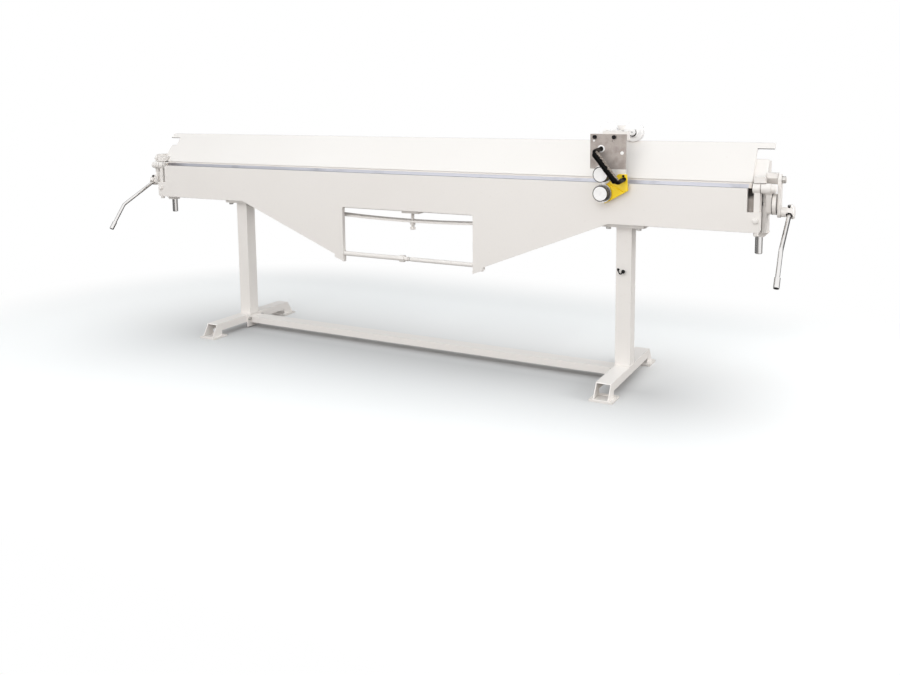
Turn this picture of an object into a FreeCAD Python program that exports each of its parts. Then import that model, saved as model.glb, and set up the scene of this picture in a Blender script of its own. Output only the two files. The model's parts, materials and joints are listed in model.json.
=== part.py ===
import FreeCAD, Part
import math
import os
import re
import Sketcher

# Manual sheet metal brake: a stand, a bed with its lower jaw, a clamping beam lifted by two end cranks,
# a swinging apron hinged on the bending line, and a roller slitter that runs on the clamping beam.
# Millimetres. X runs along the bending line, Y points to the back, Z up. The origin lies on the floor
# at mid length, on the centre line of the feet.

doc = FreeCAD.newDocument("SheetMetalBrake")
sizes = doc.addObject("Spreadsheet::Sheet", "sizes")

DIMENSIONS = [
    # Whole machine
    ("bend_height", 838, "bending line above the floor"),
    ("bend_setback", 58, "bending line in front of the feet's centre line"),
    ("work_half", 1531, "half length of the clamping edge"),
    ("running_gap", 0.05, "radial clearance of a running fit"),
    ("side_play", 0.3, "play between turning parts along their axis"),
    ("head_chamfer", 2, "chamfer on large turned heads and caps"),
    ("small_chamfer", 1.5, "chamfer on small turned heads and nuts"),
    ("cut_margin", 1, "how far a cutting shape runs past what it cuts"),
    # Apron
    ("ear_margin", 6, "apron's ear beyond the hinge arm"),
    ("apron_body_inset", 11, "apron's body inside the clamping edge's end"),
    ("notch_depth", 90, "hinge notch, down from the bending line"),
    ("apron_side_depth", 167, "apron depth outside the posts"),
    ("apron_middle_depth", 416, "apron depth at the window"),
    ("slope_inset", 52, "where the lower edge starts to slope, inside the post's axis"),
    ("window_half", 352, "half width of the middle window"),
    ("window_drop", 165, "window's top edge below the bending line"),
    ("apron_thick", 20, "apron depth, front to back"),
    ("apron_skin", 4, "sheet of the apron's tray"),
    ("ear_round", 12, "rounding of the ears' lower corners"),
    ("window_round", 8, "rounding of the window's upper corners"),
    ("edge_bar_height", 30, "bending bar inside the tray's upper edge"),
    ("apron_rib_thick", 6, "upright ribs inside the tray"),
    ("apron_rib_first", 120, "first rib from the window's edge"),
    ("apron_rib_last", 208, "outermost rib inside the apron body's end"),
    # Apron hinge
    ("eye_radius", 19, "hinge eyes"),
    ("hinge_pin_radius", 10, "hinge pin"),
    ("hinge_head_radius", 16, "hinge pin's head"),
    ("hinge_head_length", 18, "hinge pin's head"),
    ("arm_gap", 12, "hinge arm beyond the clamping edge's end"),
    ("arm_width", 22, "hinge arm along the bending line"),
    ("arm_half_depth", 11, "hinge arm, front or back of the bending line"),
    ("adjuster_gap", 17, "hinge arm's lower end above the ear's"),
    ("eye_overhang", 5, "arm's eye beyond the arm's inner face"),
    ("arm_bolt_inset", 9, "clamp bolt from the arm's inner face"),
    ("arm_bolt_rise", 46, "clamp bolt above the ear's lower edge"),
    ("arm_bolt_radius", 6, "clamp bolt's shank"),
    ("arm_bolt_head", 11, "clamp bolt's head, across half"),
    ("arm_bolt_proud", 9, "clamp bolt's head height"),
    ("adjuster_radius", 10, "adjusting bolt's head under the ear"),
    ("adjuster_head", 12, "adjusting bolt's head height"),
    ("adjuster_shank", 5, "adjusting bolt's shank radius"),
    # Apron truss rod
    ("lug_length", 64, "lug that holds the truss rod, along the machine"),
    ("lug_inset", 20, "lug inside the window's edge"),
    ("lug_height", 54, "lug"),
    ("lug_overhang", 14, "lug's lower edge below the apron"),
    ("rod_rise", 39, "truss rod's axis above the lug's lower edge"),
    ("left_tube_radius", 11, "left truss tube"),
    ("right_tube_radius", 10, "right truss tube"),
    ("left_tube_end", 36, "left tube's inner end, left of mid length"),
    ("right_tube_end", 22, "right tube's inner end, right of mid length"),
    ("truss_nut_across", 30, "adjusting nut across flats"),
    ("truss_nut_end", 10, "adjusting nut's right face, left of mid length"),
    ("lock_nut_end", 9, "lock nut's right face, right of mid length"),
    ("stud_radius", 8, "truss stud"),
    # Bed
    ("bed_gap", 2, "bed's front face behind the bending line"),
    ("bed_depth", 108, "bed, front to back"),
    ("bed_overhang", 2, "bed beyond the clamping edge's end"),
    ("jaw_thick", 20, "lower jaw"),
    ("bed_front_gap", 2, "bed's front plate inside the hinge arm's inner face"),
    ("bed_plate_thick", 12, "front, back and bottom plates of the bed"),
    ("bed_height", 171, "underside of the bed below the bending line"),
    ("bed_rib_thick", 8, "ribs inside the bed"),
    ("bed_rib_hole", 40, "lightening hole of the bed's ribs"),
    ("bed_rib_inset", 13, "outermost rib inside the bed's end"),
    ("end_plate_gap", 3, "bed's end plate beyond the hinge arm"),
    ("end_plate_thick", 17, "bed's end plate"),
    ("end_plate_recess", 30, "end plate's front edge behind the bed's front"),
    ("end_plate_neck", 15, "neck between the end plate and its eye"),
    ("end_plate_drop", 2, "end plate's lower edge below the bed"),
    ("side_plate_thick", 18, "crank bearing plate"),
    ("side_eye_radius", 20.5, "bearing plate's hinge eye"),
    ("side_plate_taper", 29, "slant of the bearing plate's front edge"),
    ("side_plate_front", 3, "bearing plate's front edge ahead of the bending line"),
    ("side_plate_round", 20, "bearing plate's lower corners"),
    ("side_plate_drop", 101, "bearing plate's lower end below the bending line"),
    ("side_plate_back", 34, "bearing plate's back edge behind the feet's centre line"),
    # Guide rods of the clamping beam
    ("guide_inset", 15, "guide rod inside the end plate's inner face"),
    ("guide_y", 16, "guide rod behind the feet's centre line"),
    ("guide_radius", 14, "guide rod"),
    ("guide_tip", 3, "chamfer on a guide rod's lower end"),
    ("guide_reach", 90, "guide rod's lower end below the bed"),
    ("guide_collar_radius", 20, "collar under the beam's shelf"),
    ("guide_collar_height", 11, "collar under the beam's shelf"),
    ("guide_block_inner", 17, "guide block's inner face from its bore"),
    ("guide_block_length", 54, "guide block along the machine"),
    ("guide_block_half", 20, "guide block, half depth"),
    ("guide_block_height", 19, "guide block"),
    ("guide_block_chamfer", 16, "guide block's outer lower corner"),
    # Clamping beam
    ("lean", 38, "front plate's lean from upright, in degrees"),
    ("nose_setback", 1.5, "clamping edge behind the bending line"),
    ("sheet_gap", 1, "gap between the jaws, for the thickest sheet"),
    ("blade_height", 12, "clamping blade"),
    ("blade_depth", 60, "clamping blade, front to back"),
    ("sole_thick", 8, "sole of the clamping beam"),
    ("sole_inset", 7, "sole's front edge behind the plate's face"),
    ("beam_plate_thick", 12, "front plate of the clamping beam"),
    ("beam_height", 166, "top edge of the clamping beam above the bending line"),
    ("tongue_overhang", 14, "top tongue beyond the shoulder"),
    ("tongue_height", 24, "top tongue"),
    ("tongue_round", 8, "rounding of the notch under the tongue"),
    ("back_plate_y", 75, "back plate of the clamping beam"),
    ("back_plate_inset", 11, "back plate inside the clamping edge's end"),
    ("beam_rib_thick", 8, "ribs of the clamping beam"),
    ("beam_rib_inset", 120, "outermost rib inside the back plate's end"),
    ("shoulder_length", 141, "shoulder bracket along the machine"),
    ("shoulder_inset", 4, "shoulder inside the end plate's outer face"),
    ("shoulder_drop", 62, "top of the shoulder below the beam's top edge"),
    ("shoulder_round", 8, "shoulder's outer top corner"),
    ("toe_start_gap", 2, "toe of the shoulder inside the hinge arm's inner face"),
    ("toe_reach", 8, "toe's face in front of the bending line"),
    ("toe_height", 24, "toe of the shoulder"),
    ("shelf_thick", 10, "bracket's shelf"),
    ("cheek_thick", 13, "bracket's end cheek"),
    # Trunnion and link
    ("trunnion_shift", 2, "trunnion block's middle behind its stud"),
    ("stud_sink", 2, "stud's collar let into the trunnion block"),
    ("stud_proud", 3, "stud's end beyond the nut"),
    ("trunnion_y", -12, "trunnion and crank axes, from the feet's centre line"),
    ("trunnion_height", 32, "trunnion axis above the bending line"),
    ("trunnion_half", 22, "trunnion block, half depth"),
    ("trunnion_top", 25, "trunnion block above its axis"),
    ("trunnion_face", 6, "lower edge of the block's front face above its axis"),
    ("trunnion_collar", 14, "stud's collar inside the link"),
    ("trunnion_low", 18, "trunnion block below its axis"),
    ("trunnion_radius", 10, "trunnion stud"),
    ("link_gap", 1.5, "link beyond the crank disc"),
    ("link_thick", 12, "link plate"),
    ("link_half", 22, "link plate, half width"),
    ("link_pin_clearance", 9, "link's lower bore around the crank pin"),
    ("trunnion_nut_radius", 15, "trunnion nut"),
    ("trunnion_nut_length", 13, "trunnion nut"),
    # Crank
    ("crank_throw", 28, "crank pin from the crank axis"),
    ("crank_drop", 62, "crank axis below the bending line"),
    ("disc_gap", 1, "crank disc beyond the bearing plate"),
    ("disc_thick", 17, "crank disc"),
    ("disc_radius", 40, "crank disc"),
    ("disc_chamfer", 1, "crank disc's rim"),
    ("hub_chamfer", 3, "lever hub's outer rim"),
    ("shaft_radius", 15, "crank shaft"),
    ("shaft_inset", 3, "crank shaft's inner end inside the end plate"),
    ("crank_pin_radius", 8, "crank pin"),
    ("hub_gap", 0.5, "lever hub beyond the link"),
    ("hub_radius", 18.75, "lever hub"),
    ("hub_length", 22.5, "lever hub's slim part"),
    ("collar_radius", 25, "hub's collar"),
    ("collar_length", 26, "hub's collar"),
    ("lever_wall", 1, "collar's wall beside the lever rod"),
    ("lever_radius", 8, "lever rod"),
    ("mouth_radius", 12.5, "recess around the lever rod where it enters the hub"),
    ("mouth_start", 14, "recess's floor ahead of the hub's axis"),
    ("lever_angle", 27.3, "upper stretch of the lever below level, in degrees"),
    ("lever_upper", 244, "upper stretch of the lever"),
    ("lever_lower_angle", 53.9, "lower stretch of the lever below level, in degrees"),
    ("lever_lower", 147, "lower stretch of the lever"),
    ("lever_back", 34, "lever rod behind the hub's axis"),
    ("lever_bend", 45, "bend of the lever rod"),
    ("sleeve_radius", 10.5, "end sleeve of the lever"),
    ("sleeve_length", 40, "end sleeve of the lever"),
    ("set_screw_radius", 5, "set screw of the hub"),
    ("set_screw_height", 31, "set screw's top from the hub's axis"),
    # Stand
    ("post_inset", 503, "posts and feet inside the clamping edge's end"),
    ("post_width", 65, "post along the machine"),
    ("post_depth", 60, "post, front to back"),
    ("post_wall", 3, "post's wall"),
    ("flange_half", 88, "top flange of the post, half length"),
    ("flange_half_depth", 50, "top flange of the post, half depth"),
    ("flange_thick", 12, "top flange of the post"),
    ("flange_bolt_x", 64, "flange bolts from the post's axis"),
    ("flange_bolt_y", 36, "flange bolts from the post's axis"),
    ("flange_bolt_radius", 6, "flange bolt's shank"),
    ("flange_bolt_across", 19, "flange bolt's head across flats"),
    ("flange_bolt_head", 10, "flange bolt's head"),
    ("foot_width", 64, "foot channel along the machine"),
    ("foot_wall", 4, "foot channel's sheet"),
    ("foot_height", 68, "foot channel's top above the floor"),
    ("foot_half", 304, "foot's half length at the pads"),
    ("foot_slant", 36, "slant of the foot's ends"),
    ("foot_leg", 66, "part of the foot's end that reaches down to the pad"),
    ("foot_clear", 32, "lower edge of the foot's middle above the floor"),
    ("pad_length", 97, "floor pad along the machine"),
    ("pad_depth", 91, "floor pad, front to back"),
    ("pad_thick", 8, "floor pad"),
    ("pad_overhang", 5, "pad beyond the foot's end"),
    ("pad_hole_radius", 5, "anchor holes of the pads"),
    ("pad_hole_x", 39, "anchor holes from the pad's centre"),
    ("pad_hole_y", 35, "anchor holes from the pad's centre"),
    ("brace_depth", 71, "brace tube, front to back"),
    ("brace_height", 31, "brace tube"),
    ("brace_low", 26, "brace tube's underside above the floor"),
    ("brace_wall", 3, "brace tube's wall"),
    ("brace_plate_thick", 8, "brace end plate"),
    ("brace_plate_half", 58, "brace end plate, half depth"),
    ("brace_plate_under", 20, "brace end plate below the tube"),
    ("brace_plate_over", 6, "brace end plate above the tube"),
    ("brace_bolt_y", 47, "brace bolts from the foot's centre line"),
    ("brace_bolt_rise", 22, "brace bolts above the tube's underside"),
    ("brace_bolt_radius", 5, "brace bolt's shank"),
    ("brace_bolt_across", 16, "brace bolt's head across flats"),
    ("brace_bolt_head", 8, "brace bolt's head"),
    # Camber strap under the bed
    ("strap_drop", 54, "strap's underside at mid length below the bed"),
    ("strap_gap", 0.3, "gap between the strap's ends and the bed"),
    ("strap_thick", 10, "strap"),
    ("strap_width", 50, "strap"),
    ("strap_y", -8, "strap's centre line from the feet's centre line"),
    ("anchor_inset", 90, "strap's anchor inside the post's flange"),
    ("anchor_length", 50, "block that holds the strap's end"),
    ("anchor_height", 22, "block that holds the strap's end"),
    ("jack_plate_half", 45, "plate above the jack bolt, half length"),
    ("jack_plate_thick", 12, "plate above the jack bolt"),
    ("jack_bolt_radius", 8, "jack bolt"),
    ("jack_bolt_play", 0.5, "strap's hole around the jack bolt"),
    ("jack_bolt_drop", 36, "jack bolt's lower end below the strap"),
    ("jack_head_across", 24, "jack bolt's head across flats"),
    ("jack_head_height", 11, "jack bolt's head"),
    ("jack_nut_height", 14, "nut under the strap"),
    # Hook on the right post
    ("hook_inset", 22, "hook's root inside the post's axis"),
    ("hook_z", 477, "hook's root above the floor"),
    ("hook_radius", 2.5, "hook's wire"),
    ("hook_reach", 12, "hook in front of the post"),
    ("hook_drop", 20, "hook's lowest point below its root"),
    ("hook_tip_drop", 6, "hook's tip below its root"),
    ("hook_length", 24, "hook sideways"),
    ("hook_knob_radius", 8, "hook's knob"),
    # Roller slitter
    ("slitter_inset", 553.5, "slitter's centre inside the clamping edge's end"),
    ("head_half", 74.5, "knife plate, half length"),
    ("head_rise", 59, "knife plate's lower edge above the bending line"),
    ("head_height", 33, "knife plate's upper edge above the beam"),
    ("head_clearance", 20, "knife plate's face in front of the apron"),
    ("head_thick", 8, "knife plate"),
    ("knife_offset", 17.5, "knife axes left of the slitter's centre"),
    ("knife_radius", 38.5, "circular knives"),
    ("knife_thick", 5, "circular knives"),
    ("knife_overlap", 0.5, "how far the knives overlap"),
    ("knife_gap", 0.3, "gap between the knives' faces"),
    ("knife_cap_radius", 32, "feed cap in front of a knife"),
    ("knife_cap_reach", 40, "feed cap's face in front of the knife plate"),
    ("knife_cap_skin", 4, "feed cap's closed front"),
    ("knife_axle_radius", 8, "knife axle"),
    ("knife_spacer_radius", 12, "spacer behind a knife"),
    ("head_tab_start", 38.5, "tab under the knife plate, right of the slitter's centre"),
    ("head_tab_rise", 18, "tab's lower edge above the bending line"),
    ("tongue_reach", 18, "knife plate's tongue below the upper knife's centre"),
    ("tongue_half_width", 35, "knife plate's tongue where it starts"),
    ("sight_hole_right", 20.5, "right sight hole from the slitter's centre"),
    ("sight_hole_left", 57.5, "left sight hole from the slitter's centre"),
    ("sight_hole_drop", 27, "sight holes below the plate's top"),
    ("sight_hole_radius", 4, "sight holes"),
    ("cap_screw_left", 54.5, "left cap screw from the slitter's centre"),
    ("cap_screw_right", 26.5, "right cap screw from the slitter's centre"),
    ("cap_screw_drop", 12, "cap screws below the plate's top"),
    ("cap_screw_radius", 8, "cap screw's head"),
    ("cap_screw_height", 10, "cap screw's head"),
    ("plug_x", 59.5, "plug from the slitter's centre"),
    ("plug_drop", 75, "plug below the plate's top"),
    ("plug_radius", 7, "plug"),
    ("plug_height", 3, "plug"),
    ("guard_thick", 5, "lower knife's carrier plate"),
    ("guard_left", 47.5, "carrier plate's upper left corner from the slitter's centre"),
    ("guard_right", 82.5, "carrier plate's right edge from the slitter's centre"),
    ("guard_top", 40, "carrier plate's top above the bending line"),
    ("guard_corner", 26, "carrier plate's right corner below the bending line"),
    ("guard_low", 81, "carrier plate's lowest point below the bending line"),
    ("guard_lean", 4, "carrier plate's right corner beyond its upper right corner"),
    ("guard_shoulder", 4, "carrier plate's shoulder below the bending line"),
    ("guard_boss", 24, "carrier plate around the lower axle"),
    ("guard_bolt_x", 68, "carrier plate's bolt from the slitter's centre"),
    ("guard_bolt_z", 33.5, "carrier plate's bolt above the bending line"),
    ("guard_bolt_height", 7, "carrier plate's bolt head"),
    ("guard_bolt_radius", 4.5, "carrier plate's bolt"),
    ("grip_radius", 12.5, "handle's grip"),
    ("handle_radius", 7.5, "handle's rod"),
    ("handle_left", 27.5, "handle's upper root from the slitter's centre"),
    ("handle_right", 71, "handle's lower root from the slitter's centre"),
    ("washer_radius", 15, "washer at the handle's upper root"),
    ("washer_hole", 10, "washer's hole around the handle's rod"),
    ("washer_thick", 3, "washer at the handle's upper root"),
    ("handle_shift", 10, "handle's bends to the left of its roots"),
    ("handle_fall", 10, "handle's bends below its roots"),
    ("handle_bend", 14, "bends of the handle's rod"),
    ("handle_drop", 59, "handle's upper root below the plate's top"),
    ("handle_foot", 20, "handle's lower root above the bending line"),
    ("grip_inset", 0.09, "share of the grip stretch left bare at each end"),
    ("handle_reach", 63, "handle in front of the knife plate"),
    ("wheel_offset", 54.5, "track wheels from the slitter's centre"),
    ("wheel_radius", 36, "track wheel's tread"),
    ("wheel_flange_height", 4, "track wheel's flanges beyond the tread"),
    ("wheel_flange_thick", 7, "track wheel's flanges"),
    ("wheel_lift", 0.3, "gap between the tread and the beam's top edge"),
    ("wheel_side_gap", 0.6, "play between a flange and the beam's top edge"),
    ("wheel_hub_radius", 22, "track wheel's front hub"),
    ("wheel_hub_length", 9, "track wheel's front hub"),
    ("wheel_axle_radius", 8, "track wheel's axle"),
    ("saddle_bar_rise", 9, "saddle's front bar above the beam"),
    ("saddle_bar_height", 35, "saddle's front bar"),
    ("saddle_bar_thick", 20, "saddle's front bar"),
    ("saddle_bar_left", 23.5, "front bar left of the slitter's centre"),
    ("saddle_bar_right", 82.5, "front bar right of the slitter's centre"),
    ("saddle_bar_half", 70, "front bar's lower part left of the slitter's centre"),
    ("saddle_arm_half", 10, "saddle's arm, half width"),
    ("saddle_plate_half", 75, "plate that carries the wheels, half length"),
    ("saddle_plate_thick", 8, "plate that carries the wheels"),
    ("saddle_plate_rise", 8, "plate that carries the wheels, above the beam"),
    ("saddle_plate_height", 54, "plate that carries the wheels"),
]

# Sizes that follow from the table's
FOLLOWING = [
    ("post_x", "work_half - post_inset"),
    ("slope_start", "post_x - slope_inset"),
    ("hook_x", "post_x - hook_inset"),
    ("strap_half", "post_x - flange_half - anchor_inset - anchor_length"),
    ("slitter_x", "work_half - slitter_inset"),
    ("bed_half", "work_half + bed_overhang"),
    ("apron_body_half", "work_half - apron_body_inset"),
    ("arm_start", "work_half + arm_gap"),
    ("apron_half", "arm_start + arm_width + ear_margin"),
    ("end_plate_start", "arm_start + arm_width + end_plate_gap"),
    ("guide_x", "end_plate_start - guide_inset"),
    ("guide_block_start", "guide_x - guide_block_inner"),
    ("shoulder_half", "end_plate_start + end_plate_thick - shoulder_inset"),
    ("shoulder_start", "shoulder_half - shoulder_length"),
    ("tongue_half", "shoulder_half + tongue_overhang"),
    ("back_plate_half", "work_half - back_plate_inset"),
    ("disc_start", "end_plate_start + end_plate_thick + side_plate_thick + disc_gap"),
    ("link_start", "disc_start + disc_thick + link_gap"),
    ("hub_start", "link_start + link_thick + hub_gap"),
    ("collar_start", "hub_start + hub_length"),
    ("hub_end", "collar_start + collar_length"),
    ("lever_x", "collar_start + lever_radius + lever_wall"),
    ("bed_rib_pitch", "(bed_half - bed_rib_inset) / 4"),
    ("beam_rib_pitch", "(back_plate_half - beam_rib_inset) / 3.5"),
    ("apron_rib_pitch", "(apron_body_half - window_half - apron_rib_first - apron_rib_last) / 2"),
    ("beam_top", "bend_height + beam_height"),
    ("shoulder_top", "beam_top - shoulder_drop"),
    ("trunnion_z", "bend_height + trunnion_height"),
    ("crank_z", "bend_height - crank_drop"),
    ("bed_bottom", "bend_height - bed_height"),
    ("guide_bottom", "bed_bottom - guide_reach"),
    ("strap_low", "bed_bottom - strap_drop"),
    ("strap_rise", "strap_drop - strap_thick - strap_gap"),
    ("strap_bend", "strap_thick + (strap_half ^ 2 + strap_rise ^ 2) / (2 * strap_rise)"),
    ("jack_bolt_low", "strap_low - jack_bolt_drop"),
    ("arm_length", "apron_side_depth - adjuster_gap"),
    ("arm_bolt_drop", "apron_side_depth - arm_bolt_rise"),
    ("lug_bottom_depth", "apron_middle_depth + lug_overhang"),
    ("rod_drop", "lug_bottom_depth - rod_rise"),
    ("foot_top_half", "foot_half - foot_slant"),
    ("foot_deep_start", "foot_half - foot_leg"),
    ("brace_plate_low", "brace_low - brace_plate_under"),
    ("brace_plate_high", "brace_low + brace_height + brace_plate_over"),
    ("brace_bolt_z", "brace_low + brace_bolt_rise"),
    ("head_front", "bend_setback + apron_thick + head_clearance"),
    ("head_low", "bend_height + head_rise"),
    ("head_top", "beam_top + head_height"),
    ("head_tab_low", "bend_height + head_tab_rise"),
    ("sight_hole_z", "head_top - sight_hole_drop"),
    ("knife_cap_front", "head_front + knife_cap_reach"),
    ("wheel_flange", "wheel_radius + wheel_flange_height"),
    ("saddle_bar_low", "beam_top + saddle_bar_rise"),
    ("saddle_bar_top", "saddle_bar_low + saddle_bar_height"),
    ("saddle_plate_low", "beam_top + saddle_plate_rise"),
    ("saddle_plate_top", "saddle_plate_low + saddle_plate_height"),
]

for row, (name, size, meaning) in enumerate(DIMENSIONS, start=1):
    sizes.set("A%d" % row, str(size))
    sizes.setAlias("A%d" % row, name)
    sizes.set("B%d" % row, meaning)
doc.recompute()

SPELLED = {name: "sizes." + name for name, size, meaning in DIMENSIONS}
SUBPARTS = []


def linked(text):
    """Spells a sum of named sizes as an expression on the sheet."""
    return re.sub(r"\b[a-z_]+\b", lambda word: SPELLED.get(word.group(), word.group()), text)


for name, text in FOLLOWING:
    SPELLED[name] = "(%s)" % linked(text)


def number(text):
    """Works out a sum of named sizes."""
    return float(sizes.evalExpression(linked(text)))


def bind(feature, settings):
    for name, text in settings.items():
        feature.setExpression(name, linked(text))
    return feature


def keep(feature, label):
    """Marks a finished sub-part: its label names its file."""
    feature.Label = label
    SUBPARTS.append(feature)
    return feature


SKETCH_PLANE = {"X": "YZ_Plane", "Y": "XZ_Plane", "Z": "XY_Plane"}


def plane_sketch(body, axis, offset):
    """A sketch across the axis, at the offset along it."""
    sketch = body.newObject("Sketcher::SketchObject", body.Name + "_sketch")
    plane = next(part for part in body.Origin.OriginFeatures if part.Role == SKETCH_PLANE[axis])
    sketch.AttachmentSupport = [(plane, "")]
    sketch.MapMode = "FlatFace"
    return bind(sketch, {"AttachmentOffset.Base.z": offset})


def place_point(sketch, line, point, u, v):
    """Holds a point of the sketch at its two distances from the sketch's origin."""
    for kind, text in (("DistanceX", u), ("DistanceY", v)):
        held = sketch.addConstraint(Sketcher.Constraint(kind, -1, 1, line, point, number(text)))
        bind(sketch, {"Constraints[%d]" % held: text})


def draw(sketch, outline):
    """Draws a closed outline: a list of corners, or one circle as its centre and radius."""
    if isinstance(outline, tuple):
        u, v, radius = outline
        centre = FreeCAD.Vector(number(u), number(v), 0)
        ring = sketch.addGeometry(Part.Circle(centre, FreeCAD.Vector(0, 0, 1), number(radius)))
        place_point(sketch, ring, 3, u, v)
        held = sketch.addConstraint(Sketcher.Constraint("Radius", ring, number(radius)))
        bind(sketch, {"Constraints[%d]" % held: radius})
        return
    corners = [FreeCAD.Vector(number(u), number(v), 0) for u, v in outline]
    followers = corners[1:] + corners[:1]
    lines = [sketch.addGeometry(Part.LineSegment(start, end)) for start, end in zip(corners, followers)]
    for line, follower in zip(lines, lines[1:] + lines[:1]):
        sketch.addConstraint(Sketcher.Constraint("Coincident", line, 2, follower, 1))
    for line, (u, v) in zip(lines, outline):
        place_point(sketch, line, 1, u, v)


def slab(name, axis, low, high, outline, holes=()):
    """A plate or bar whose outline lies across the axis and which reaches from low to high along it."""
    body = doc.addObject("PartDesign::Body", name)
    # The sketch plane across Y faces the front, so its offset counts forward.
    sketch = plane_sketch(body, axis, "-(%s)" % high if axis == "Y" else low)
    draw(sketch, outline)
    for hole in holes:
        draw(sketch, hole)
    pad = body.newObject("PartDesign::Pad", name + "_pad")
    pad.Profile = sketch
    bind(pad, {"Length": "(%s) - (%s)" % (high, low)})
    return body


def turned(name, axis, centre, profile):
    """A turned piece. The centre gives the axis's place across it, and the profile is a closed outline
    of distances along the axis and radii."""
    body = doc.addObject("PartDesign::Body", name)
    sketch = plane_sketch(body, {"X": "Z", "Y": "X", "Z": "Y"}[axis], "0")
    draw(sketch, [(radius, along) if axis == "Z" else (along, radius) for along, radius in profile])
    revolution = body.newObject("PartDesign::Revolution", name + "_turned")
    revolution.Profile = sketch
    revolution.ReferenceAxis = (sketch, ["V_Axis" if axis == "Z" else "H_Axis"])
    revolution.Angle = 360
    across = [letter for letter in "xyz" if letter != axis.lower()]
    return bind(body, {"Placement.Base." + letter: text for letter, text in zip(across, centre)})


def rounded(body, radius, corners):
    """Rounds the straight edges whose ends lie at the given coordinates, such as {"x": ..., "z": ...}."""
    doc.recompute()
    tip = body.Tip
    chosen = []
    for index, edge in enumerate(tip.Shape.Edges, start=1):
        ends = [vertex.Point for vertex in edge.Vertexes]
        for corner in corners:
            wanted = [(letter, number(text)) for letter, text in corner.items()]
            misses = [abs(getattr(end, letter) - place) for end in ends for letter, place in wanted]
            if len(ends) == 2 and max(misses) < 1e-4:
                chosen.append("Edge%d" % index)
    fillet = body.newObject("PartDesign::Fillet", body.Name + "_round")
    fillet.Base = (tip, chosen)
    bind(fillet, {"Radius": radius})


def block(name, low, high):
    """A box between two corners."""
    box = doc.addObject("Part::Box", name)
    lengths = dict(zip(("Length", "Width", "Height"), zip(low, high)))
    bind(box, {side: "(%s) - (%s)" % (end, start) for side, (start, end) in lengths.items()})
    return bind(box, {"Placement.Base." + letter: text for letter, text in zip("xyz", low)})


def cylinder(name, axis, centre, low, high, radius):
    """A round bar along an axis, from low to high."""
    bar = doc.addObject("Part::Cylinder", name)
    turn = {"X": ((0, 1, 0), 90), "Y": ((1, 0, 0), -90), "Z": ((0, 0, 1), 0)}[axis]
    bar.Placement = FreeCAD.Placement(FreeCAD.Vector(), FreeCAD.Rotation(FreeCAD.Vector(*turn[0]), turn[1]))
    across = [letter for letter in "xyz" if letter != axis.lower()]
    bind(bar, {"Radius": radius, "Height": "(%s) - (%s)" % (high, low)})
    bind(bar, {"Placement.Base." + axis.lower(): low})
    return bind(bar, {"Placement.Base." + letter: text for letter, text in zip(across, centre)})


def rod_between(name, start, end, radius):
    """A round bar between two points."""
    first, last = [FreeCAD.Vector(*[number(text) for text in point]) for point in (start, end)]
    feature = doc.addObject("Part::Feature", name)
    feature.Shape = Part.makeCylinder(number(radius), first.distanceToPoint(last), first, last - first)
    return feature


def bent_rod(name, points, radius, bend):
    """A round rod with straight stretches between its points and an arc at each bend."""
    corners = [FreeCAD.Vector(*[number(text) for text in point]) for point in points]
    edges = []
    start = corners[0]
    for previous, corner, following in zip(corners, corners[1:], corners[2:]):
        back = (previous - corner).normalize()
        ahead = (following - corner).normalize()
        half = back.getAngle(ahead) / 2
        reach = number(bend) / math.tan(half)
        depth = number(bend) / math.sin(half) - number(bend)
        middle = corner + (back + ahead).normalize() * depth
        edges.append(Part.LineSegment(start, corner + back * reach).toShape())
        edges.append(Part.Arc(corner + back * reach, middle, corner + ahead * reach).toShape())
        start = corner + ahead * reach
    edges.append(Part.LineSegment(start, corners[-1]).toShape())
    ring = Part.Wire(Part.makeCircle(number(radius), corners[0], corners[1] - corners[0]))
    feature = doc.addObject("Part::Feature", name)
    feature.Shape = Part.Wire(edges).makePipeShell([ring], True, False)
    return feature


def combined(kind, name, settings):
    feature = doc.addObject(kind, name)
    for key, value in settings.items():
        setattr(feature, key, value)
    return feature


def fused(name, pieces):
    return combined("Part::MultiFuse", name, {"Shapes": pieces, "Refine": True})


def shared(name, first, second):
    return combined("Part::Common", name, {"Base": first, "Tool": second})


def group(name, pieces):
    return combined("Part::Compound", name, {"Links": pieces})


def cut(name, base, tools):
    tool = tools[0] if len(tools) == 1 else group(name + "_tools", tools)
    return combined("Part::Cut", name, {"Base": base, "Tool": tool, "Refine": True})


def mirrored(name, source):
    """The same piece at the other end of the machine."""
    return combined("Part::Mirroring", name, {"Source": source, "Normal": FreeCAD.Vector(1, 0, 0)})


def pair(name, source):
    """The right-hand piece and its twin at the left."""
    return [source, mirrored(name + "_twin", source)]


def rectangle(u_low, u_high, v_low, v_high):
    return [(u_low, v_low), (u_high, v_low), (u_high, v_high), (u_low, v_high)]


def hexagon(u, v, across):
    corner = "(%s) / sqrt(3) * " % across
    turns = ["(%ddeg)" % (60 * side) for side in range(6)]
    return [("(%s) + %scos%s" % (u, corner, turn), "(%s) + %ssin%s" % (v, corner, turn)) for turn in turns]


def symmetric(points):
    """A closed outline from the corners of its right half, listed from the top down."""
    return points + [("-(%s)" % u, v) for u, v in reversed(points)]


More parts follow.
